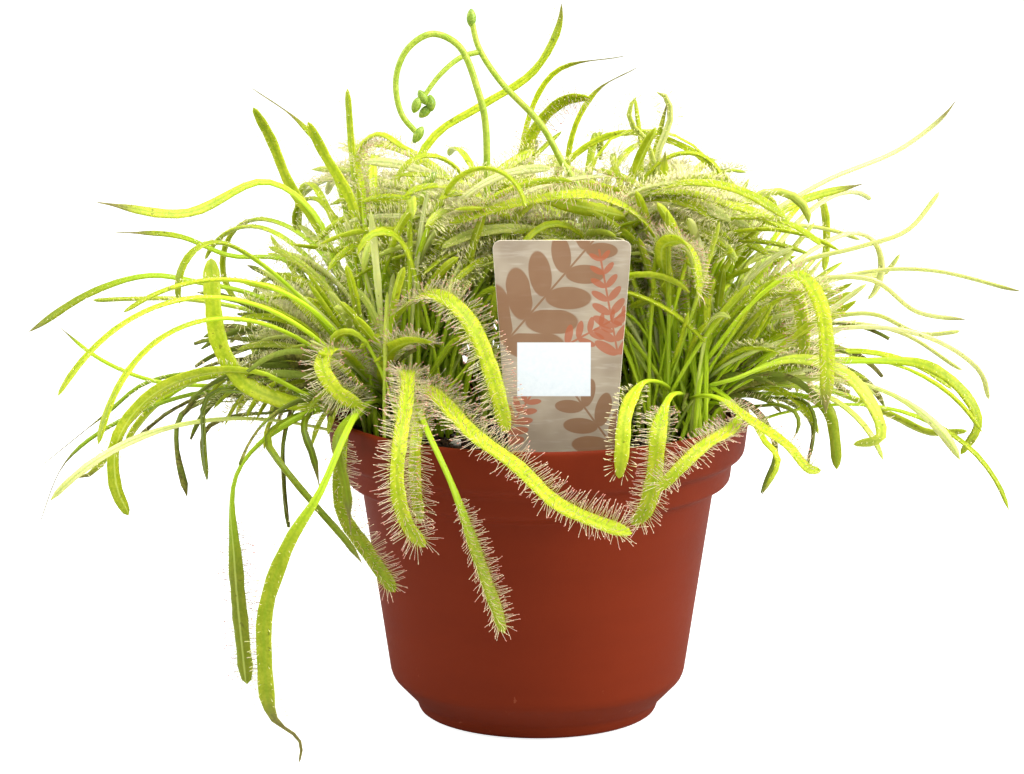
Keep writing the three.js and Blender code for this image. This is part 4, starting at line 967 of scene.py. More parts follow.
def withered_straps(leaves, rng):
    """Shrunken leaves: a flat section that folds and twists at random along its length."""
    rows, around = 26, 6
    u = np.linspace(0, 1, rows)
    width, _ = leaf_widths(0.9, 0.3, 1.6, leaves.length, u)
    crumple = rng.normal(0, 1, (len(leaves.paths), rows))
    crumple = (crumple + np.roll(crumple, 1, 1) + np.roll(crumple, -1, 1)) / 2
    half = width / 2 * np.clip(1 + 0.16 * crumple, 0.5, 1.35)
    centre, wide, under = (spread(v, u) for v in (leaves.paths, leaves.wide, leaves.under))
    turn = (rng.uniform(-2.2, 2.2, (len(leaves.paths), 1)) * u + 0.2 * crumple)[..., None]
    flat, thick = wide * np.cos(turn) + under * np.sin(turn), under * np.cos(turn) - wide * np.sin(turn)
    angle = angles(around, 0.5)
    fold = 0.34 * np.abs(np.cos(angle)) * (0.6 + 0.5 * np.sin(9 * u + leaves.wave[:, :1]))[:, :, None]
    points = (centre[:, :, None] + unit(flat)[:, :, None] * (half[:, :, None] * np.cos(angle))[..., None]
              - unit(thick)[:, :, None] * (0.3 * np.sin(angle) + fold)[..., None])
    return tubes(points, np.stack([leaves.paths[:, 0], leaves.paths[:, -1]], 1))


def old_stem(at, rng):
    """A stub of stem, ringed by the scars of fallen leaves: radius 3.2 + 0.5 |sin(1.9 z + a)| + noise."""
    rows, around = 16, 20
    z = np.linspace(SOIL_LEVEL - 2.5, at[2] - 0.3, rows)[:, None]
    angle = angles(around)
    radius = 3.2 + 0.5 * np.abs(np.sin(1.9 * z + angle)) + rng.uniform(-0.2, 0.2, (rows, around))
    points = np.stack([at[0] + radius * np.cos(angle), at[1] + radius * np.sin(angle), z + 0 * angle], 2)
    poles = np.array([[at[0], at[1], z[0, 0]], [at[0], at[1], z[-1, 0]]])
    return tubes(points[None], poles[None])


def crown_dome(at):
    """The heart of a rosette that the leaves are rooted in, with the bulges of young leaf bases: the radius
    of the half outline times 0.93 + 0.07 cos(5 a + z)."""
    points, ends = turned(rounded([(0, 0), (3.6, 0), (4, 1.6), (3.4, 4), (1.8, 5.6), (0, 6)], 0.8), 30)
    angle = np.arctan2(points[..., 1], points[..., 0])
    points[..., :2] *= (0.93 + 0.07 * np.cos(5 * angle + points[..., 2]))[..., None]
    return tubes(points + at, ends + at)


# ---------- flower stalks
def rod(points, radii, around=10):
    """A round rod along the points, with frames carried along them."""
    along = unit(np.gradient(points, axis=0))
    side, sides = np.array([1.0, 0.3, 0.1]), []
    for way in along:
        side = unit(side - way * (side @ way))
        sides.append(side)
    ring = directions_round(np.array(sides), np.cross(along, sides), around)
    poles = np.array([points[0], points[-1] + along[-1] * radii[-1] * 0.6])
    return tubes((points[:, None] + ring * radii[:, None, None])[None], poles[None])


def flower_bud(at, length, tilt):
    """A closed bud in its five sepals: radius 0.95 sin(pi s)^0.6 (1 + 0.1 |cos 2.5 a|) along its length,
    leaning by the tilt about Y."""
    s = np.linspace(0.03, 0.97, 13)[:, None]
    angle = angles(20)
    radius = 0.95 * np.sin(np.pi * s) ** 0.6 * (1 + 0.1 * np.abs(np.cos(2.5 * angle)))
    x, y, z = radius * np.cos(angle), radius * np.sin(angle), (s - 0.5) * length + 0 * angle
    cos, sin = math.cos(math.radians(tilt)), math.sin(math.radians(tilt))
    turn = np.array([[cos, 0, sin], [0, 1, 0], [-sin, 0, cos]])
    points = np.stack([x, y, z], 2) @ turn.T + at
    poles = np.array([[0, 0, -length / 2], [0, 0, length / 2]]) @ turn.T + at
    return tubes(points[None], poles[None])


# ---------- pot, soil and label
POT_PROFILE = [
    (0, 0), (25.3, 0), (26.2, 2.5), (31, 7.5), (31.6, 9), (37.6, 49.5), (41, 51), (41.5, 55.5), (44, 57),
    (45, 65.3), (44.7, 66), (43.7, 66), (42.8, 58), (40.3, 56.5), (39.8, 52), (36.4, 50.5), (30.4, 9.4),
    (29.9, 8), (25.2, 3.4), (24.6, 1.5), (0, 1.5),
]
SOIL_SIDE = [
    (24.3, SOIL_FOOT), (24.9, 3.7), (29.6, 8.3), (30.1, 9.7), (36.1, 50.8), (39.5, 52.3), (40, 56.8),
    (42.5, 58.4),
]
DRAIN_HOLES, DRAIN_CIRCLE, DRAIN_RADIUS = 6, 17, 2.5


def soil_height(x, y):
    """SOIL_LEVEL + SOIL_LUMP (sin(.21x + 1.3) cos(.17y - .4) + .7 sin(.53x - .31y) cos(.47y + .19x))"""
    wide = np.sin(x * 0.21 + 1.3) * np.cos(y * 0.17 - 0.4)
    fine = np.sin(x * 0.53 - y * 0.31) * np.cos(y * 0.47 + x * 0.19)
    return SOIL_LEVEL + SOIL_LUMP * (wide + 0.7 * fine)


def crumbly(x, y, rng):
    """Small lumps: the sum of twelve sines of random direction and phase, with waves from 1.5 to 5 mm."""
    total = 0
    for wave in np.linspace(1.5, 5, 12):
        way, phase = rng.uniform(0, 2 * np.pi, 2)
        total = total + wave / 5 * np.sin((x * np.cos(way) + y * np.sin(way)) * 2 * np.pi / wave + phase)
    return 0.13 * total


def soil_body(rng):
    """The soil fills the pot up to its crumbly top: the side's half outline, then rings that shrink to the
    middle, each point at soil_height plus crumbly."""
    sides, rings = 120, 44
    side, _ = turned(np.array([(0, SOIL_FOOT), *SOIL_SIDE, (0, SOIL_FOOT)]), sides)
    angle = angles(sides)
    radius = np.linspace(SOIL_REACH, 0.9, rings)[:, None]
    x, y = radius * np.cos(angle), radius * np.sin(angle)
    edge = smooth(SOIL_REACH, SOIL_REACH - 2, radius)
    top = np.stack([x, y, soil_height(x, y) + edge * crumbly(x, y, rng)], 2)
    poles = np.array([[0, 0, SOIL_FOOT], [0, 0, soil_height(0, 0)]])
    return tubes(np.concatenate([side, top[None]], 1), poles[None])


def on_soil(count, reach, rng):
    """Random places on the soil, even by area: radius = reach sqrt(random). Places inside the stems, the
    stalks or the card are left out."""
    angle, radius = rng.uniform(0, 2 * np.pi, count), reach * np.sqrt(rng.uniform(0, 1, count))
    x, y = radius * np.cos(angle), radius * np.sin(angle)
    clear = (abs(x - LABEL_PIVOT[0]) > 12.5) | (abs(y - LABEL_PIVOT[1]) > 1.8)
    rooms = [(plant["at"], 5.6) for plant in plants] + [(points[0], 2.6) for points in STALKS]
    for at, room in rooms:
        clear &= np.hypot(x - at[0], y - at[1]) > room
    x, y = x[clear], y[clear]
    return np.stack([x, y, soil_height(x, y)], 1)


def lumps(centres, sizes, rng, rows=2, around=5, rough=0.22):
    """Round crumbs with uneven radii: centre + size (1 + noise) (sin p cos a, sin p sin a, 0.75 cos p),
    tilted and turned."""
    count = len(centres)
    p = np.pi * (np.arange(rows)[:, None] + 1) / (rows + 1)
    a = angles(around)
    ball = np.stack([-np.sin(p) * np.cos(a), np.sin(p) * np.sin(a), 0.75 * np.cos(p) + 0 * a], 2)
    size = sizes[:, None, None, None] * (1 + rng.uniform(-rough, rough, (count, rows, around, 1)))
    x, y, z = np.moveaxis(ball[None] * size, 3, 0)
    lean, spin = rng.uniform(-0.8, 0.8, (count, 1, 1)), rng.uniform(0, 2 * np.pi, (count, 1, 1))
    y, z = y * np.cos(lean) - z * np.sin(lean), y * np.sin(lean) + z * np.cos(lean)
    x, y = x * np.cos(spin) - y * np.sin(spin), x * np.sin(spin) + y * np.cos(spin)
    points = np.stack([x, y, z], 3) + centres[:, None, None]
    top = sizes[:, None] * (0, 0, 0.6)
    return tubes(points, np.stack([centres + top, centres - top], 1))


def fibres(centres, rng, longest=4.5):
    """Bits of root and moss stem that lie on the soil: bent rods, centre + way t + bend (t^2 - 1/3)."""
    count = len(centres)
    heading, rise = rng.uniform(0, 2 * np.pi, count), rng.uniform(-0.25, 0.35, count)
    way = np.stack([np.cos(heading), np.sin(heading), rise], 1) * rng.uniform(0.9, longest / 2, (count, 1))
    bend = np.stack([-np.sin(heading), np.cos(heading), 0 * heading + 0.3], 1)
    bend *= rng.uniform(-0.7, 0.7, (count, 1))
    t = np.linspace(-1, 1, 4)[None, :, None]
    spine = centres[:, None] + way[:, None] * t + bend[:, None] * (t**2 - 1 / 3)
    side = unit(np.cross(way, [[0.0, 0.0, 1.0]]))
    ring = directions_round(side, -np.cross(side, unit(way)), 4)
    points = spine[:, :, None] + ring[:, None] * rng.uniform(0.1, 0.22, (count, 1, 1, 1))
    return tubes(points, np.stack([spine[:, 0], spine[:, -1]], 1))


def cut_drain_holes(pot):
    """Upright holes through the pot's floor, cut by a Boolean with as many rods."""
    angle, turn = angles(DRAIN_HOLES), angles(32)
    feet = DRAIN_CIRCLE * np.stack([np.cos(angle), np.sin(angle), 0 * angle], 1)
    ring = DRAIN_RADIUS * np.stack([np.cos(turn), np.sin(turn), 0 * turn], 1)
    height = np.array([[0, 0, -2.0], [0, 0, 4.0]])
    points = feet[:, None, None] + height[None, :, None] + ring[None, None]
    drill = make_piece("drain_drill", tubes(points, feet[:, None] + height), pot.data.materials[0])
    cut = pot.modifiers.new("drain holes", "BOOLEAN")
    cut.object, cut.operation, cut.solver = drill, "DIFFERENCE", "EXACT"
    mesh = bpy.data.meshes.new_from_object(pot.evaluated_get(bpy.context.evaluated_depsgraph_get()))
    pot.modifiers.clear()
    pot.data = mesh
    bpy.data.objects.remove(drill)


def label_half_width(z):
    """10.9 at the soil line and 3.4 more at the card's top, 43.5 above it."""
    return 10.9 + (z - LABEL_PIVOT[2]) * 3.4 / 43.5


def label_card():
    """The card: a tapered outline with round upper corners and a pointed foot, as thin as LABEL_THICKNESS
    with its edges broken by 0.08 mm. Its corners are the parabolas of rounded, and it leans back about the
    soil line."""
    foot, shoulder, edge, half = 44, 51, 0.08, LABEL_THICKNESS / 2
    outline = [(0, foot), (3, foot), (label_half_width(shoulder), shoulder),
               (label_half_width(LABEL_TOP), LABEL_TOP), (0, LABEL_TOP)]
    right = rounded(outline, 2.2, 9)[1:-1]
    ring = np.vstack([right, right[::-1] * (-1, 1)]) - (0, LABEL_PIVOT[2])
    ahead, behind = np.roll(ring, -1, 0) - ring, ring - np.roll(ring, 1, 0)
    outward = unit((unit(ahead) + unit(behind))[:, ::-1] * (1, -1))
    rows = []
    for inset, depth in ((edge, half), (0, half - edge), (0, edge - half), (edge, -half)):
        flat = ring - outward * inset
        rows.append(np.stack([flat[:, 0], flat[:, 0] * 0 + depth, flat[:, 1]], 1))
    points, poles = np.array(rows), np.array([[0, half, 20.0], [0, -half, 20.0]])
    cos, sin = math.cos(LABEL_LEAN), math.sin(LABEL_LEAN)
    lean = np.array([[1, 0, 0], [0, cos, -sin], [0, sin, cos]])
    return tubes((points @ lean + LABEL_PIVOT)[None], (poles @ lean + LABEL_PIVOT)[None])


# ---------- shader nodes
class Signal:
    """One output of a node. Arithmetic with it adds math nodes to its tree."""

    def __init__(self, tree, output):
        self.tree = tree
        self.output = output

    def maths(self, operation, *others):
        """The output of a math node with this signal as its first input."""
        return node(self.tree, "ShaderNodeMath", dict(enumerate([self, *others])), operation=operation)[0]

    def __add__(self, other):
        return self.maths("ADD", other)

    def __sub__(self, other):
        return self.maths("SUBTRACT", other)

    def __mul__(self, other):
        return self.maths("MULTIPLY", other)

    def __truediv__(self, other):
        return self.maths("DIVIDE", other)

    def __gt__(self, other):
        return self.maths("GREATER_THAN", other)

    def __lt__(self, other):
        return self.maths("LESS_THAN", other)

    def __abs__(self):
        return self.maths("ABSOLUTE")


def connect(tree, inputs, values):
    """Links signals to the inputs of these names or numbers, or sets the inputs to the values."""
    for key, value in values.items():
        if isinstance(value, Signal):
            tree.links.new(value.output, inputs[key])
        else:
            inputs[key].default_value = value


def node(tree, kind, inputs=None, **settings):
    """A new node with its settings and inputs, as its outputs by number and by name."""
    made = tree.nodes.new(kind)
    for key, value in settings.items():
        setattr(made, key, value)
    connect(tree, made.inputs, inputs or {})
    outputs = [Signal(tree, output) for output in made.outputs]
    return dict(enumerate(outputs)) | {signal.output.name: signal for signal in outputs}


def split(vector):
    """The x, y and z of a vector."""
    made = node(vector.tree, "ShaderNodeSeparateXYZ", {0: vector})
    return made[0], made[1], made[2]


def mapped(vector, **inputs):
    """A vector that is turned, scaled and moved."""
    return node(vector.tree, "ShaderNodeMapping", {"Vector": vector, **inputs})[0]


def mixed(factor, a, b):
    """The colour a, and b where the factor is 1. Each is a signal or three screen numbers."""
    a, b = (one if isinstance(one, Signal) else colour(*one) for one in (a, b))
    return node(factor.tree, "ShaderNodeMix", {0: factor, 6: a, 7: b}, data_type="RGBA")[2]


def between(value, low, high, to_low=0.0, to_high=1.0):
    """An even S from to_low at low to to_high at high."""
    inputs = {"Value": value, "From Min": low, "From Max": high, "To Min": to_low, "To Max": to_high}
    return node(value.tree, "ShaderNodeMapRange", inputs, interpolation_type="SMOOTHSTEP")[0]


def noise(vector, scale, detail=3.0, rough=0.55):
    """A smooth random field of about 0.3 to 0.7."""
    inputs = {"Vector": vector, "Scale": scale, "Detail": detail, "Roughness": rough}
    return node(vector.tree, "ShaderNodeTexNoise", inputs)[0]


def bump(height, depth_mm, strength=1.0):
    """The normal of a surface that a height of 1 raises by the depth."""
    inputs = {"Height": height, "Distance": depth_mm * MM, "Strength": strength}
    return node(height.tree, "ShaderNodeBump", inputs)[0]


def group(work_out, **inputs):
    """A node group with a vector and some numbers as inputs. The function works its outputs out of them."""
    tree = bpy.data.node_groups.new(work_out.__name__, "ShaderNodeTree")
    tree.interface.new_socket("vector", in_out="INPUT", socket_type="NodeSocketVector")
    for key, value in inputs.items():
        tree.interface.new_socket(key, in_out="INPUT", socket_type="NodeSocketFloat").default_value = value
    given = tree.nodes.new("NodeGroupInput").outputs
    outputs = work_out(**{key: Signal(tree, given[key]) for key in ("vector", *inputs)})
    for key in outputs:
        tree.interface.new_socket(key, in_out="OUTPUT", socket_type="NodeSocketFloat")
    connect(tree, tree.nodes.new("NodeGroupOutput").inputs, outputs)
    return tree


def use(made, vector, **inputs):
    """A node group placed in the vector's tree, as its outputs by name."""
    return node(vector.tree, "ShaderNodeGroup", {"vector": vector, **inputs}, node_tree=made)


def fine_grain(vector, scale):
    """Two noises, one four times as fine as the other: tone leans to the coarse one, height to the fine."""
    coarse, fine = noise(vector, scale, 4.0), noise(vector, scale * 4.0, 2.0)
    return {"tone": coarse * 0.6 + fine * 0.4, "height": fine * 0.7 + coarse * 0.3}


def blotches(vector, scale, cover, soft):
    """Islands that grow with the cover, with an edge as soft as soft: where a noise passes
    0.78 - 0.56 cover."""
    level = cover * -0.56 + 0.78
    return {"mask": between(noise(vector, scale, 3.0, 0.6), level, level + soft)}


def sprig(vector, foot_x, foot_z, angle, length, pitch, leaf_length, leaf_width):
    """A straight twig with pairs of oval leaves. Along the twig s and beside it b, a point belongs to the
    leaf whose foot is at k pitch, k = round((s - 0.84 b) / pitch). With p along that leaf and q across it,
    at 50 degrees to the twig, the leaf is where ((p - l/2) / (l/2))^2 + (q / (w/2))^2 < 1, and leaves shrink
    towards the twig's end."""
    along_leaf, across_leaf = 0.643, 0.766
    x, _, z = split(vector)
    x, z = x - foot_x, z - foot_z
    cos, sin = angle.maths("COSINE"), angle.maths("SINE")
    s = x * cos + z * sin
    b = abs(z * cos - x * sin)
    foot = ((b * -0.84 + s) / pitch).maths("ROUND") * pitch
    ahead = s - foot
    p = ahead * along_leaf + b * across_leaf
    q = ahead * -across_leaf + b * along_leaf
    share = foot / length
    size = share * -0.55 + 1.0
    half_length = leaf_length * 0.5 * size
    a, c = (p - half_length) / half_length, q / (leaf_width * 0.5 * size)
    leaf = between(a * a + c * c, 1.0, 0.8) * ((share > -0.01) * (share < 1.01))
    twig = between(b, 0.26, 0.16) * ((s > 0.0) * (s < length))
    return {"mask": leaf.maths("MAXIMUM", twig)}


GRAIN = group(fine_grain, scale=400.0)
BLOTCHES = group(blotches, scale=100.0, cover=0.3, soft=0.1)
SPRIG = group(sprig, foot_x=0.0, foot_z=0.0, angle=1.0, length=15.0, pitch=3.0, leaf_length=4.0,
              leaf_width=1.6)


# ---------- materials
def begin(name, source="ShaderNodeTexCoord", output="Object", **settings):
    """A new material and an output of its first node, which is the place on the object unless said."""
    material = bpy.data.materials.new(name)
    material.use_nodes = True
    return material, node(material.node_tree, source, **settings)[output]


def finish(material, **inputs):
    """The material, with these inputs of its Principled shader set or linked."""
    tree = material.node_tree
    named = {key.replace("_", " "): value for key, value in inputs.items()}
    connect(tree, tree.nodes["Principled BSDF"].inputs, named)
    return material


def patches(place, scale, cover, soft):
    """The mask of a group of blotches at the place."""
    return use(BLOTCHES, place, scale=scale, cover=cover, soft=soft)["mask"]


def grained(name, scale, low, high, dark, light):
    """A new material of two colours that follow a fine grain, the place on its object, the grain and the
    colour."""
    material, place = begin(name)
    fine = use(GRAIN, place, scale=scale)
    return material, place, fine, mixed(between(fine["tone"], low, high), dark, light)


def pot_plastic():
    """Moulded terracotta plastic: a fine satin grain, faint flow marks round the wall, soil smears by the
    rim and pale scuffs by the foot."""
    material, place = begin("pot plastic")
    fine = use(GRAIN, place, scale=700.0)
    height = split(place)[2]
    base = mixed(noise(mapped(place, Scale=(1, 1, 5)), 22.0), (101, 31, 8), (116, 38, 11))
    base = mixed(fine["tone"] * 0.12, base, (146, 62, 30))
    smear = patches(place, 90.0, 0.42, 0.2) * between(height, 0.052, 0.067) * 0.5
    base = mixed(smear, base, (84, 42, 26))
    scuff = patches(place, 340.0, 0.16, 0.05) * between(height, 0.02, 0.004) * 0.35
    base = mixed(scuff, base, (176, 104, 76))
    return finish(material, Base_Color=base, Roughness=fine["tone"] * 0.16 + (smear * 0.2 + 0.5),
                  Specular_IOR_Level=0.09, Normal=bump(fine["height"], 0.05, 0.5))


def peat(name, dark, light, depth=0.5):
    """Damp peat: coarse and fine lumps of two browns, paler where a crumb has dried."""
    material, place, fine, base = grained(name, 520.0, 0.36, 0.66, dark, light)
    dry = patches(place, 260.0, 0.35, 0.12)
    base = mixed(dry * 0.5, base, (104, 76, 52))
    return finish(material, Base_Color=base, Roughness=dry * 0.15 + 0.8, Specular_IOR_Level=0.25,
                  Normal=bump(fine["height"], depth))


def perlite():
    """White expanded grains, pitted, with a little soil in the pits."""
    material, _, fine, base = grained("perlite", 900.0, 0.6, 0.38, (232, 230, 222), (168, 156, 138))
    return finish(material, Base_Color=base, Roughness=0.85, Normal=bump(fine["height"], 0.25))


# The sprigs of the label's print: colour, foot x and z, angle, length, pitch, leaf length and leaf width.
BROWN, RUST = (127, 84, 46), (166, 87, 52)
SPRIGS = [
    (BROWN, -12.0, 22.0, 0.86, 30.0, 6.4, 13.0, 6.4), (RUST, 11.5, 20.0, 1.75, 22.0, 2.8, 5.6, 2.2),
    (BROWN, 13.5, -3.0, 2.2, 22.0, 5.0, 10.0, 4.6), (RUST, -12.5, 2.0, 1.0, 15.0, 2.4, 5.0, 1.9),
    (RUST, 1.0, 22.0, 0.5, 13.0, 2.6, 4.4, 1.7),
]


def printed_card():
    """A taupe card with a bare pale panel and sprigs of oval leaves in two browns. The pattern is in mm in
    the card's own plane: x to the right of its middle and z up from the soil line."""
    material, place = begin("printed card")
    cos, sin = math.cos(LABEL_LEAN), math.sin(LABEL_LEAN)
    px, py, pz = LABEL_PIVOT
    local = mapped(place, Scale=(1000, 1000, 1000), Rotation=(LABEL_LEAN, 0, 0),
                   Location=(-px, -(py * cos - pz * sin), -(py * sin + pz * cos)))
    x, y, z = split(local)
    base = mixed(between(noise(local, 0.09, 2.0), 0.3, 0.7), (147, 132, 112), (175, 162, 140))
    streak = noise(mapped(local, Rotation=(0, 0.5, 0), Scale=(0.16, 1, 1.1)), 1.1, 2.0)
    base = mixed(between(streak, 0.5, 0.75, 0, 0.35), base, (198, 188, 172))
    for shade, foot_x, foot_z, angle, length, pitch, leaf_length, leaf_width in SPRIGS:
        mask = use(SPRIG, local, foot_x=foot_x, foot_z=foot_z, angle=angle, length=length, pitch=pitch,
                   leaf_length=leaf_length, leaf_width=leaf_width)["mask"]
        base = mixed(mask * 0.82, base, shade)
    panel = between(abs(x + 1.6), 7.6, 7.45) * between(abs(z - 17.0), 5.6, 5.45)
    base = mixed(panel, base, mixed(noise(local, 1.2), (214, 226, 232), (236, 242, 244)))
    base = mixed(y < -0.3, (206, 196, 178), base)
    base = mixed(abs(y) < 0.34, base, (228, 218, 196))
    fine = use(GRAIN, place, scale=1500.0)
    base = mixed(fine["tone"] * 0.08, base, (120, 104, 88))
    return finish(material, Base_Color=base, Roughness=fine["tone"] * 0.2 + 0.36,
                  Normal=bump(fine["height"], 0.01, 0.4))


def leaf_skin():
    """Lime blades, duller towards the end, on greener stalks, deeper at the foot, each leaf a little
    different, with a pale midrib line below and painted shade along the channel above, small specks, and
    brown ends where they have dried."""
    material, place, fine, lime = grained("sundew leaf", 420.0, 0.35, 0.68, (164, 184, 24), (200, 208, 52))
    along, blade, across, tint, dried = (
        node(place.tree, "ShaderNodeAttribute", attribute_name=name)["Fac"]
        for name in ("along", "blade", "across", "tint", "dried"))

    def tinted(base, most_dark, dark, most_pale, pale):
        """The base, darker where the tint is under 0.5 and paler where it is over 0.7."""
        base = mixed(between(tint, 0.5, 0.0, 0, most_dark), base, dark)
        return mixed(between(tint, 0.7, 1.0, 0, most_pale), base, pale)

    stalk = mixed(fine["tone"], (170, 210, 26), (212, 234, 58))
    stalk = tinted(stalk, 0.7, (92, 118, 14), 0.85, (222, 226, 150))
    base = mixed(blade, stalk, tinted(lime, 0.9, (62, 72, 8), 0.9, (234, 234, 170)))
    base = mixed(between(along, 0.2, 0.0, 0, 0.6), base, (144, 178, 28))
    base = mixed(between(along, 0.78, 1.0, 0, 0.45) * blade, base, (122, 134, 16))
    under = across > 0.999
    beside = abs(across - under * 2.0)
    # Painted shade: the groove of the channel on the upper face is painted a darker green.
    channel = between(beside, 0.3, 0.05) * (under * -1.0 + 1.0)
    base = mixed(channel * 0.42, base, (126, 158, 22))
    rib = between(beside, 0.2, 0.04) * under
    base = mixed(rib * 0.4, base, (214, 226, 120))
    base = mixed(patches(place, 620.0, 0.2, 0.03) * blade * 0.6, base, (92, 92, 20))
    base = mixed(dried, base, mixed(fine["tone"], (74, 62, 34), (136, 128, 78)))
    return finish(material, Base_Color=base, Roughness=fine["tone"] * 0.2 + (dried * 0.3 + 0.3),
                  Subsurface_Weight=0.35, Subsurface_Radius=(0.9, 1.0, 0.3), Subsurface_Scale=0.002,
                  Specular_IOR_Level=0.2, Normal=bump(fine["height"], 0.12))


def tentacle_skin():
    """Along a tentacle: green at its foot, then a clear cream or pink, and a pink to red gland, wet and
    glossy. Across the UV square the tint runs from the dull ones of old leaves through pink to cream."""
    material, across = begin("tentacles", "ShaderNodeUVMap", "UV", uv_map=UV)
    u, v, _ = split(across)
    body = mixed(between(v, 0.1, 0.5), (226, 190, 175), (238, 222, 180))
    body = mixed(between(v, 0.13, 0.1), body, (150, 118, 98))
    body = mixed(between(v, 0.55, 0.95), body, (234, 232, 148))
    body = mixed(between(u, 0.38, 0.26, 0, 0.8), body, (222, 234, 110))
    gland = mixed(between(v, 0.2, 0.8), (212, 138, 124), (248, 236, 194))
    base = mixed(between(u, 0.5, 0.6), body, gland)
    return finish(material, Base_Color=base, Roughness=between(u, 0.5, 0.6, 0.4, 0.12), Subsurface_Weight=0.2,
                  Subsurface_Radius=(1, 0.8, 0.6), Subsurface_Scale=0.0003)


def withered_skin(name, dark, light):
    """Dead leaf: a grain of two olive browns with patches of dull green, rough."""
    material, place, fine, base = grained(name, 460.0, 0.35, 0.65, dark, light)
    base = mixed(patches(place, 150.0, 0.62, 0.12) * 0.8, base, (112, 130, 38))
    return finish(material, Base_Color=base, Roughness=0.82, Specular_IOR_Level=0.25,
                  Normal=bump(fine["height"], 0.25))


def stalk_skin(name, low, high):
    """Flower stalk: green, with a fine grain and yellower patches."""
    material, place, fine, base = grained(name, 500.0, 0.35, 0.65, low, high)
    base = mixed(patches(place, 120.0, 0.3, 0.2) * 0.35, base, (150, 140, 44))
    return finish(material, Base_Color=base, Roughness=fine["tone"] * 0.2 + 0.34, Subsurface_Weight=0.2,
                  Subsurface_Radius=(0.9, 1.0, 0.3), Subsurface_Scale=0.0008,
                  Normal=bump(fine["height"], 0.1))


# ---------- the plant
def narrowed(leaf):
    """The share of the solid's width that a blade has: the hairier, the broader."""
    if leaf["hairy"] >= 0.9:
        return 0.8
    return 0.68 if leaf["hairy"] >= 0.55 else 0.56


leaf_green, hair_skin = leaf_skin(), tentacle_skin()
dead_skin = withered_skin("withered leaf", (74, 70, 28), (140, 138, 60))
stalk_green = stalk_skin("flower stalk", (144, 172, 34), (180, 196, 66))
bud_green = stalk_skin("flower buds", (112, 148, 30), (160, 182, 62))

stalk_lines = [curve_points([(*points[0][:2], 52), *points], 60) for points in STALKS]
branch_line = curve_points(NODDING_BRANCH, 60)
plants = grow_plants(np.vstack([*stalk_lines, branch_line]))

for plant in plants:
    name, at = plant["name"], plant["at"]
    rng = np.random.default_rng(plant["seed"])
    for leaf in plant["leaves"]:
        leaf["width"] *= narrowed(leaf)
    leaves = Foliage(face_front(plant["leaves"]), rng)
    blades, values = leaf_blades(leaves, 36, 10)
    dome = crown_dome(at)
    values = {key: np.append(numbers, np.full(len(dome[0]), 0.08 if key == "along" else 0.0))
              for key, numbers in values.items()}
    make_piece(f"{name}_leaves", joined(blades, dome), leaf_green, [f"rosette_{name}"], values)
    lines = tentacle_lines(leaves, rng)
    listed = (lines[4] < len(plant["listed"])) & (leaves.hairy[lines[4], 0] >= HAIRY)
    old = listed & (leaves.shade[lines[4], 0] > 0.9)
    sorts = (("_long", listed & ~old, (0.14, 0.6)), ("_old", old, (0, 0.04)), ("", ~listed, (0.45, 0.94)))
    for sort, some, tints in sorts:
        some_lines = [part[some] for part in lines]
        plant_tentacles(f"{name}{sort}_tentacles", some_lines, rng, tints, fine=bool(sort))
    young = Foliage(face_front(young_leaves(plant, rng)), rng)
    blades, values = leaf_blades(young, 20, 6)
    make_piece(f"{name}_young_leaves", blades, leaf_green, values=values)
    plant_tentacles(f"{name}_young_tentacles", tentacle_lines(young, rng, 0.72), rng, (0.62, 0.94), False)
    fallen = plant["withered"] + fallen_leaves(at, rng, plant["inward"] + 180, plant["loose"])
    for leaf in fallen:
        leaf.update(petiole=0.3, twist=40, width=2.0, hairy=0, dry=0, shade=0, vary=0)
    dead = withered_straps(Foliage(fallen, rng), rng)
    make_piece(f"{name}_old_stem", joined(old_stem(at, rng), dead), dead_skin,
               [f"stem_{name}"])

# Each stalk's radius at its foot, and the length and tilt of the bud at its end.
STALK_SIZES = [(0.85, 4, 30), (0.85, 4, 0), (0.7, 5, 40)]
NODDING_BUDS = [(0, 0, 0), (1.6, 0.4, -1.2), (-1.4, -0.5, -1.5), (0.4, 0.8, -3)]
buds = []
for number, (line, (thick, bud_length, tilt)) in enumerate(zip(STALKS, STALK_SIZES), 1):
    points = curve_points([(*line[0][:2], 59.5), *line], 96)
    parts = [rod(points, np.linspace(thick, thick * 0.72, len(points)))]
    buds.append(flower_bud(points[-1], bud_length, tilt))
    if number == 2:
        parts.append(rod(curve_points(NODDING_BRANCH, 30), np.linspace(0.6, 0.5, 31)))
        for k, offset in enumerate(NODDING_BUDS):
            buds.append(flower_bud(np.array(NODDING_BRANCH[-1]) + offset, 3.6, 25 * k - 30))
    make_piece(f"flower_stalk_{number}_stem", joined(*parts), stalk_green,
               [f"flower_stalk_{number}"])
make_piece("flower_buds", joined(*buds), bud_green)

# ---------- the pot, the soil and the label
pot_shape = tubes(*turned(rounded(POT_PROFILE, 0.9), 128))
pot = make_piece("plastic_pot", pot_shape, pot_plastic(), ["pot"])
cut_drain_holes(pot)

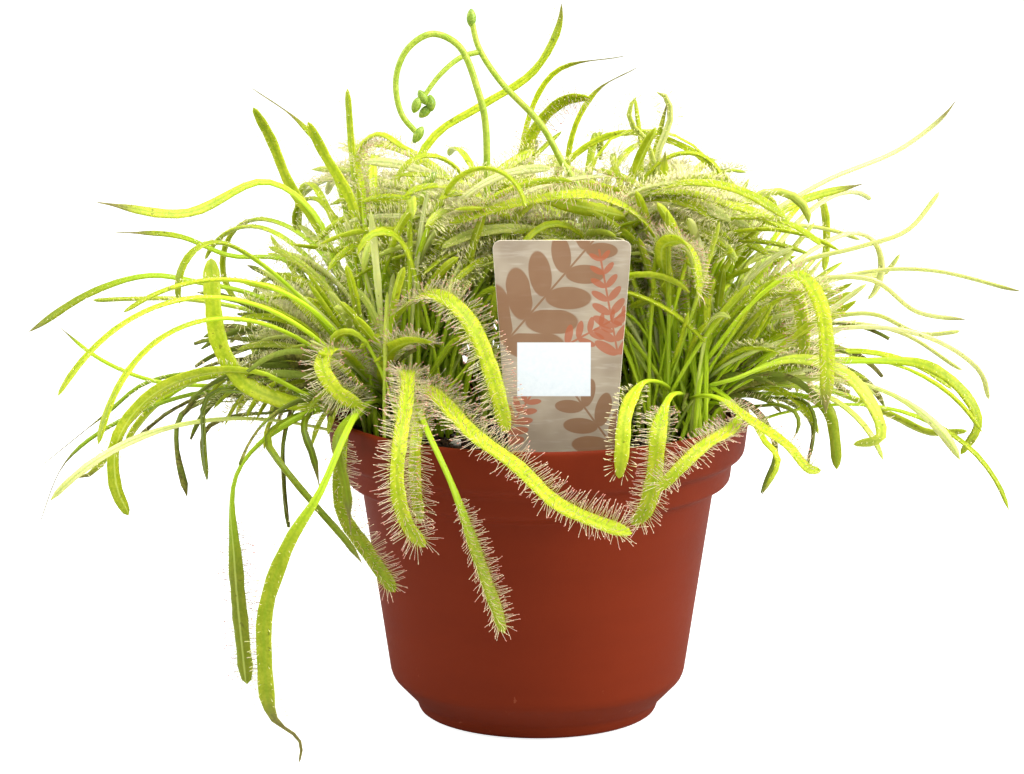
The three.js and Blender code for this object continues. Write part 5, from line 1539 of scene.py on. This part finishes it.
rng = np.random.default_rng(5)
make_piece("peat_soil", soil_body(rng), peat("peat", (26, 19, 14), (70, 50, 35)), ["soil"])
spots = on_soil(1500, 41.5, rng)
crumbs = lumps(spots + (0, 0, 0.25), rng.uniform(0.35, 1.15, len(spots)), rng)
make_piece("peat_crumbs", crumbs, peat("peat crumbs", (34, 24, 17), (86, 62, 42)))
spots = on_soil(130, 41, rng)
grains = lumps(spots + (0, 0, 0.5), rng.uniform(0.6, 1.35, len(spots)), rng, 3, 6, 0.16)
make_piece("perlite_grains", grains, perlite())
threads = fibres(on_soil(420, 40.5, rng) + (0, 0, 0.5), rng)
make_piece("peat_fibres", threads, peat("peat fibres", (60, 40, 24), (124, 92, 58), 0.2))
make_piece("label_card", label_card(), printed_card(), ["plant_label"], flat=True)


# ---------- floor, light and camera
def studio_floor():
    """A pale floor, far wider than the view, that glows a little to the camera."""
    material, place = begin("studio floor")
    base = mixed(noise(place, 3.0, 2.0), (196, 196, 195), (202, 202, 202))
    glow = node(place.tree, "ShaderNodeLightPath")["Is Camera Ray"] * 0.85
    finish(material, Base_Color=base, Roughness=0.9, Specular_IOR_Level=0.1, Emission_Color=(1, 1, 1, 1),
           Emission_Strength=glow)
    side = 6000 * np.array([[-1, -1, 0], [1, -1, 0], [1, 1, 0], [-1, 1, 0]]) - (0, 0, 0.3)
    mesh = bpy.data.meshes.new("floor")
    mesh.from_pydata((side * MM).tolist(), [], [(0, 1, 2, 3)])
    mesh.materials.append(material)
    floor = bpy.data.objects.new("floor", mesh)
    bpy.context.scene.collection.objects.link(floor)


def soft_light(name, place, aim, size, power, tint=(1, 1, 1)):
    """A square lamp at the place, turned to the aim, in metres and watts."""
    data = bpy.data.lights.new(name, "AREA")
    data.shape, data.size, data.energy, data.color = "SQUARE", size, power, tint
    lamp = bpy.data.objects.new(name, data)
    lamp.location = place
    lamp.rotation_euler = (Vector(aim) - Vector(place)).to_track_quat("-Z", "Y").to_euler()
    bpy.context.scene.collection.objects.link(lamp)


studio_floor()
soft_light("key_light", (0.84, -0.24, 0.47), (0, 0, 0.08), 0.6, 13, (1, 0.985, 0.96))
soft_light("side_light", (-0.88, 0.05, 0.4), (0, 0, 0.07), 0.6, 5.5, (0.98, 0.99, 1))
soft_light("top_light", (0.05, -0.25, 0.98), (0, 0, 0.08), 0.7, 10)
world = bpy.data.worlds.new("studio")
world.use_nodes = True
sky = world.node_tree
seen = node(sky, "ShaderNodeLightPath")["Is Camera Ray"]
connect(sky, sky.nodes["Background"].inputs, {"Strength": seen * 0.42 + 0.58, "Color": (1, 1, 1, 1)})
bpy.context.scene.world = world
bpy.context.scene.view_settings.view_transform = "Standard"

lens = bpy.data.cameras.new("camera")
lens.lens, lens.sensor_width, lens.clip_start, lens.clip_end = 137.4, 36, 0.02, 20
camera = bpy.data.objects.new("camera", lens)
camera.location = (-0.0055, -0.814, 0.238)
camera.rotation_euler = (math.radians(90 - 11.64), 0, 0)
bpy.context.scene.collection.objects.link(camera)
bpy.context.scene.camera = camera
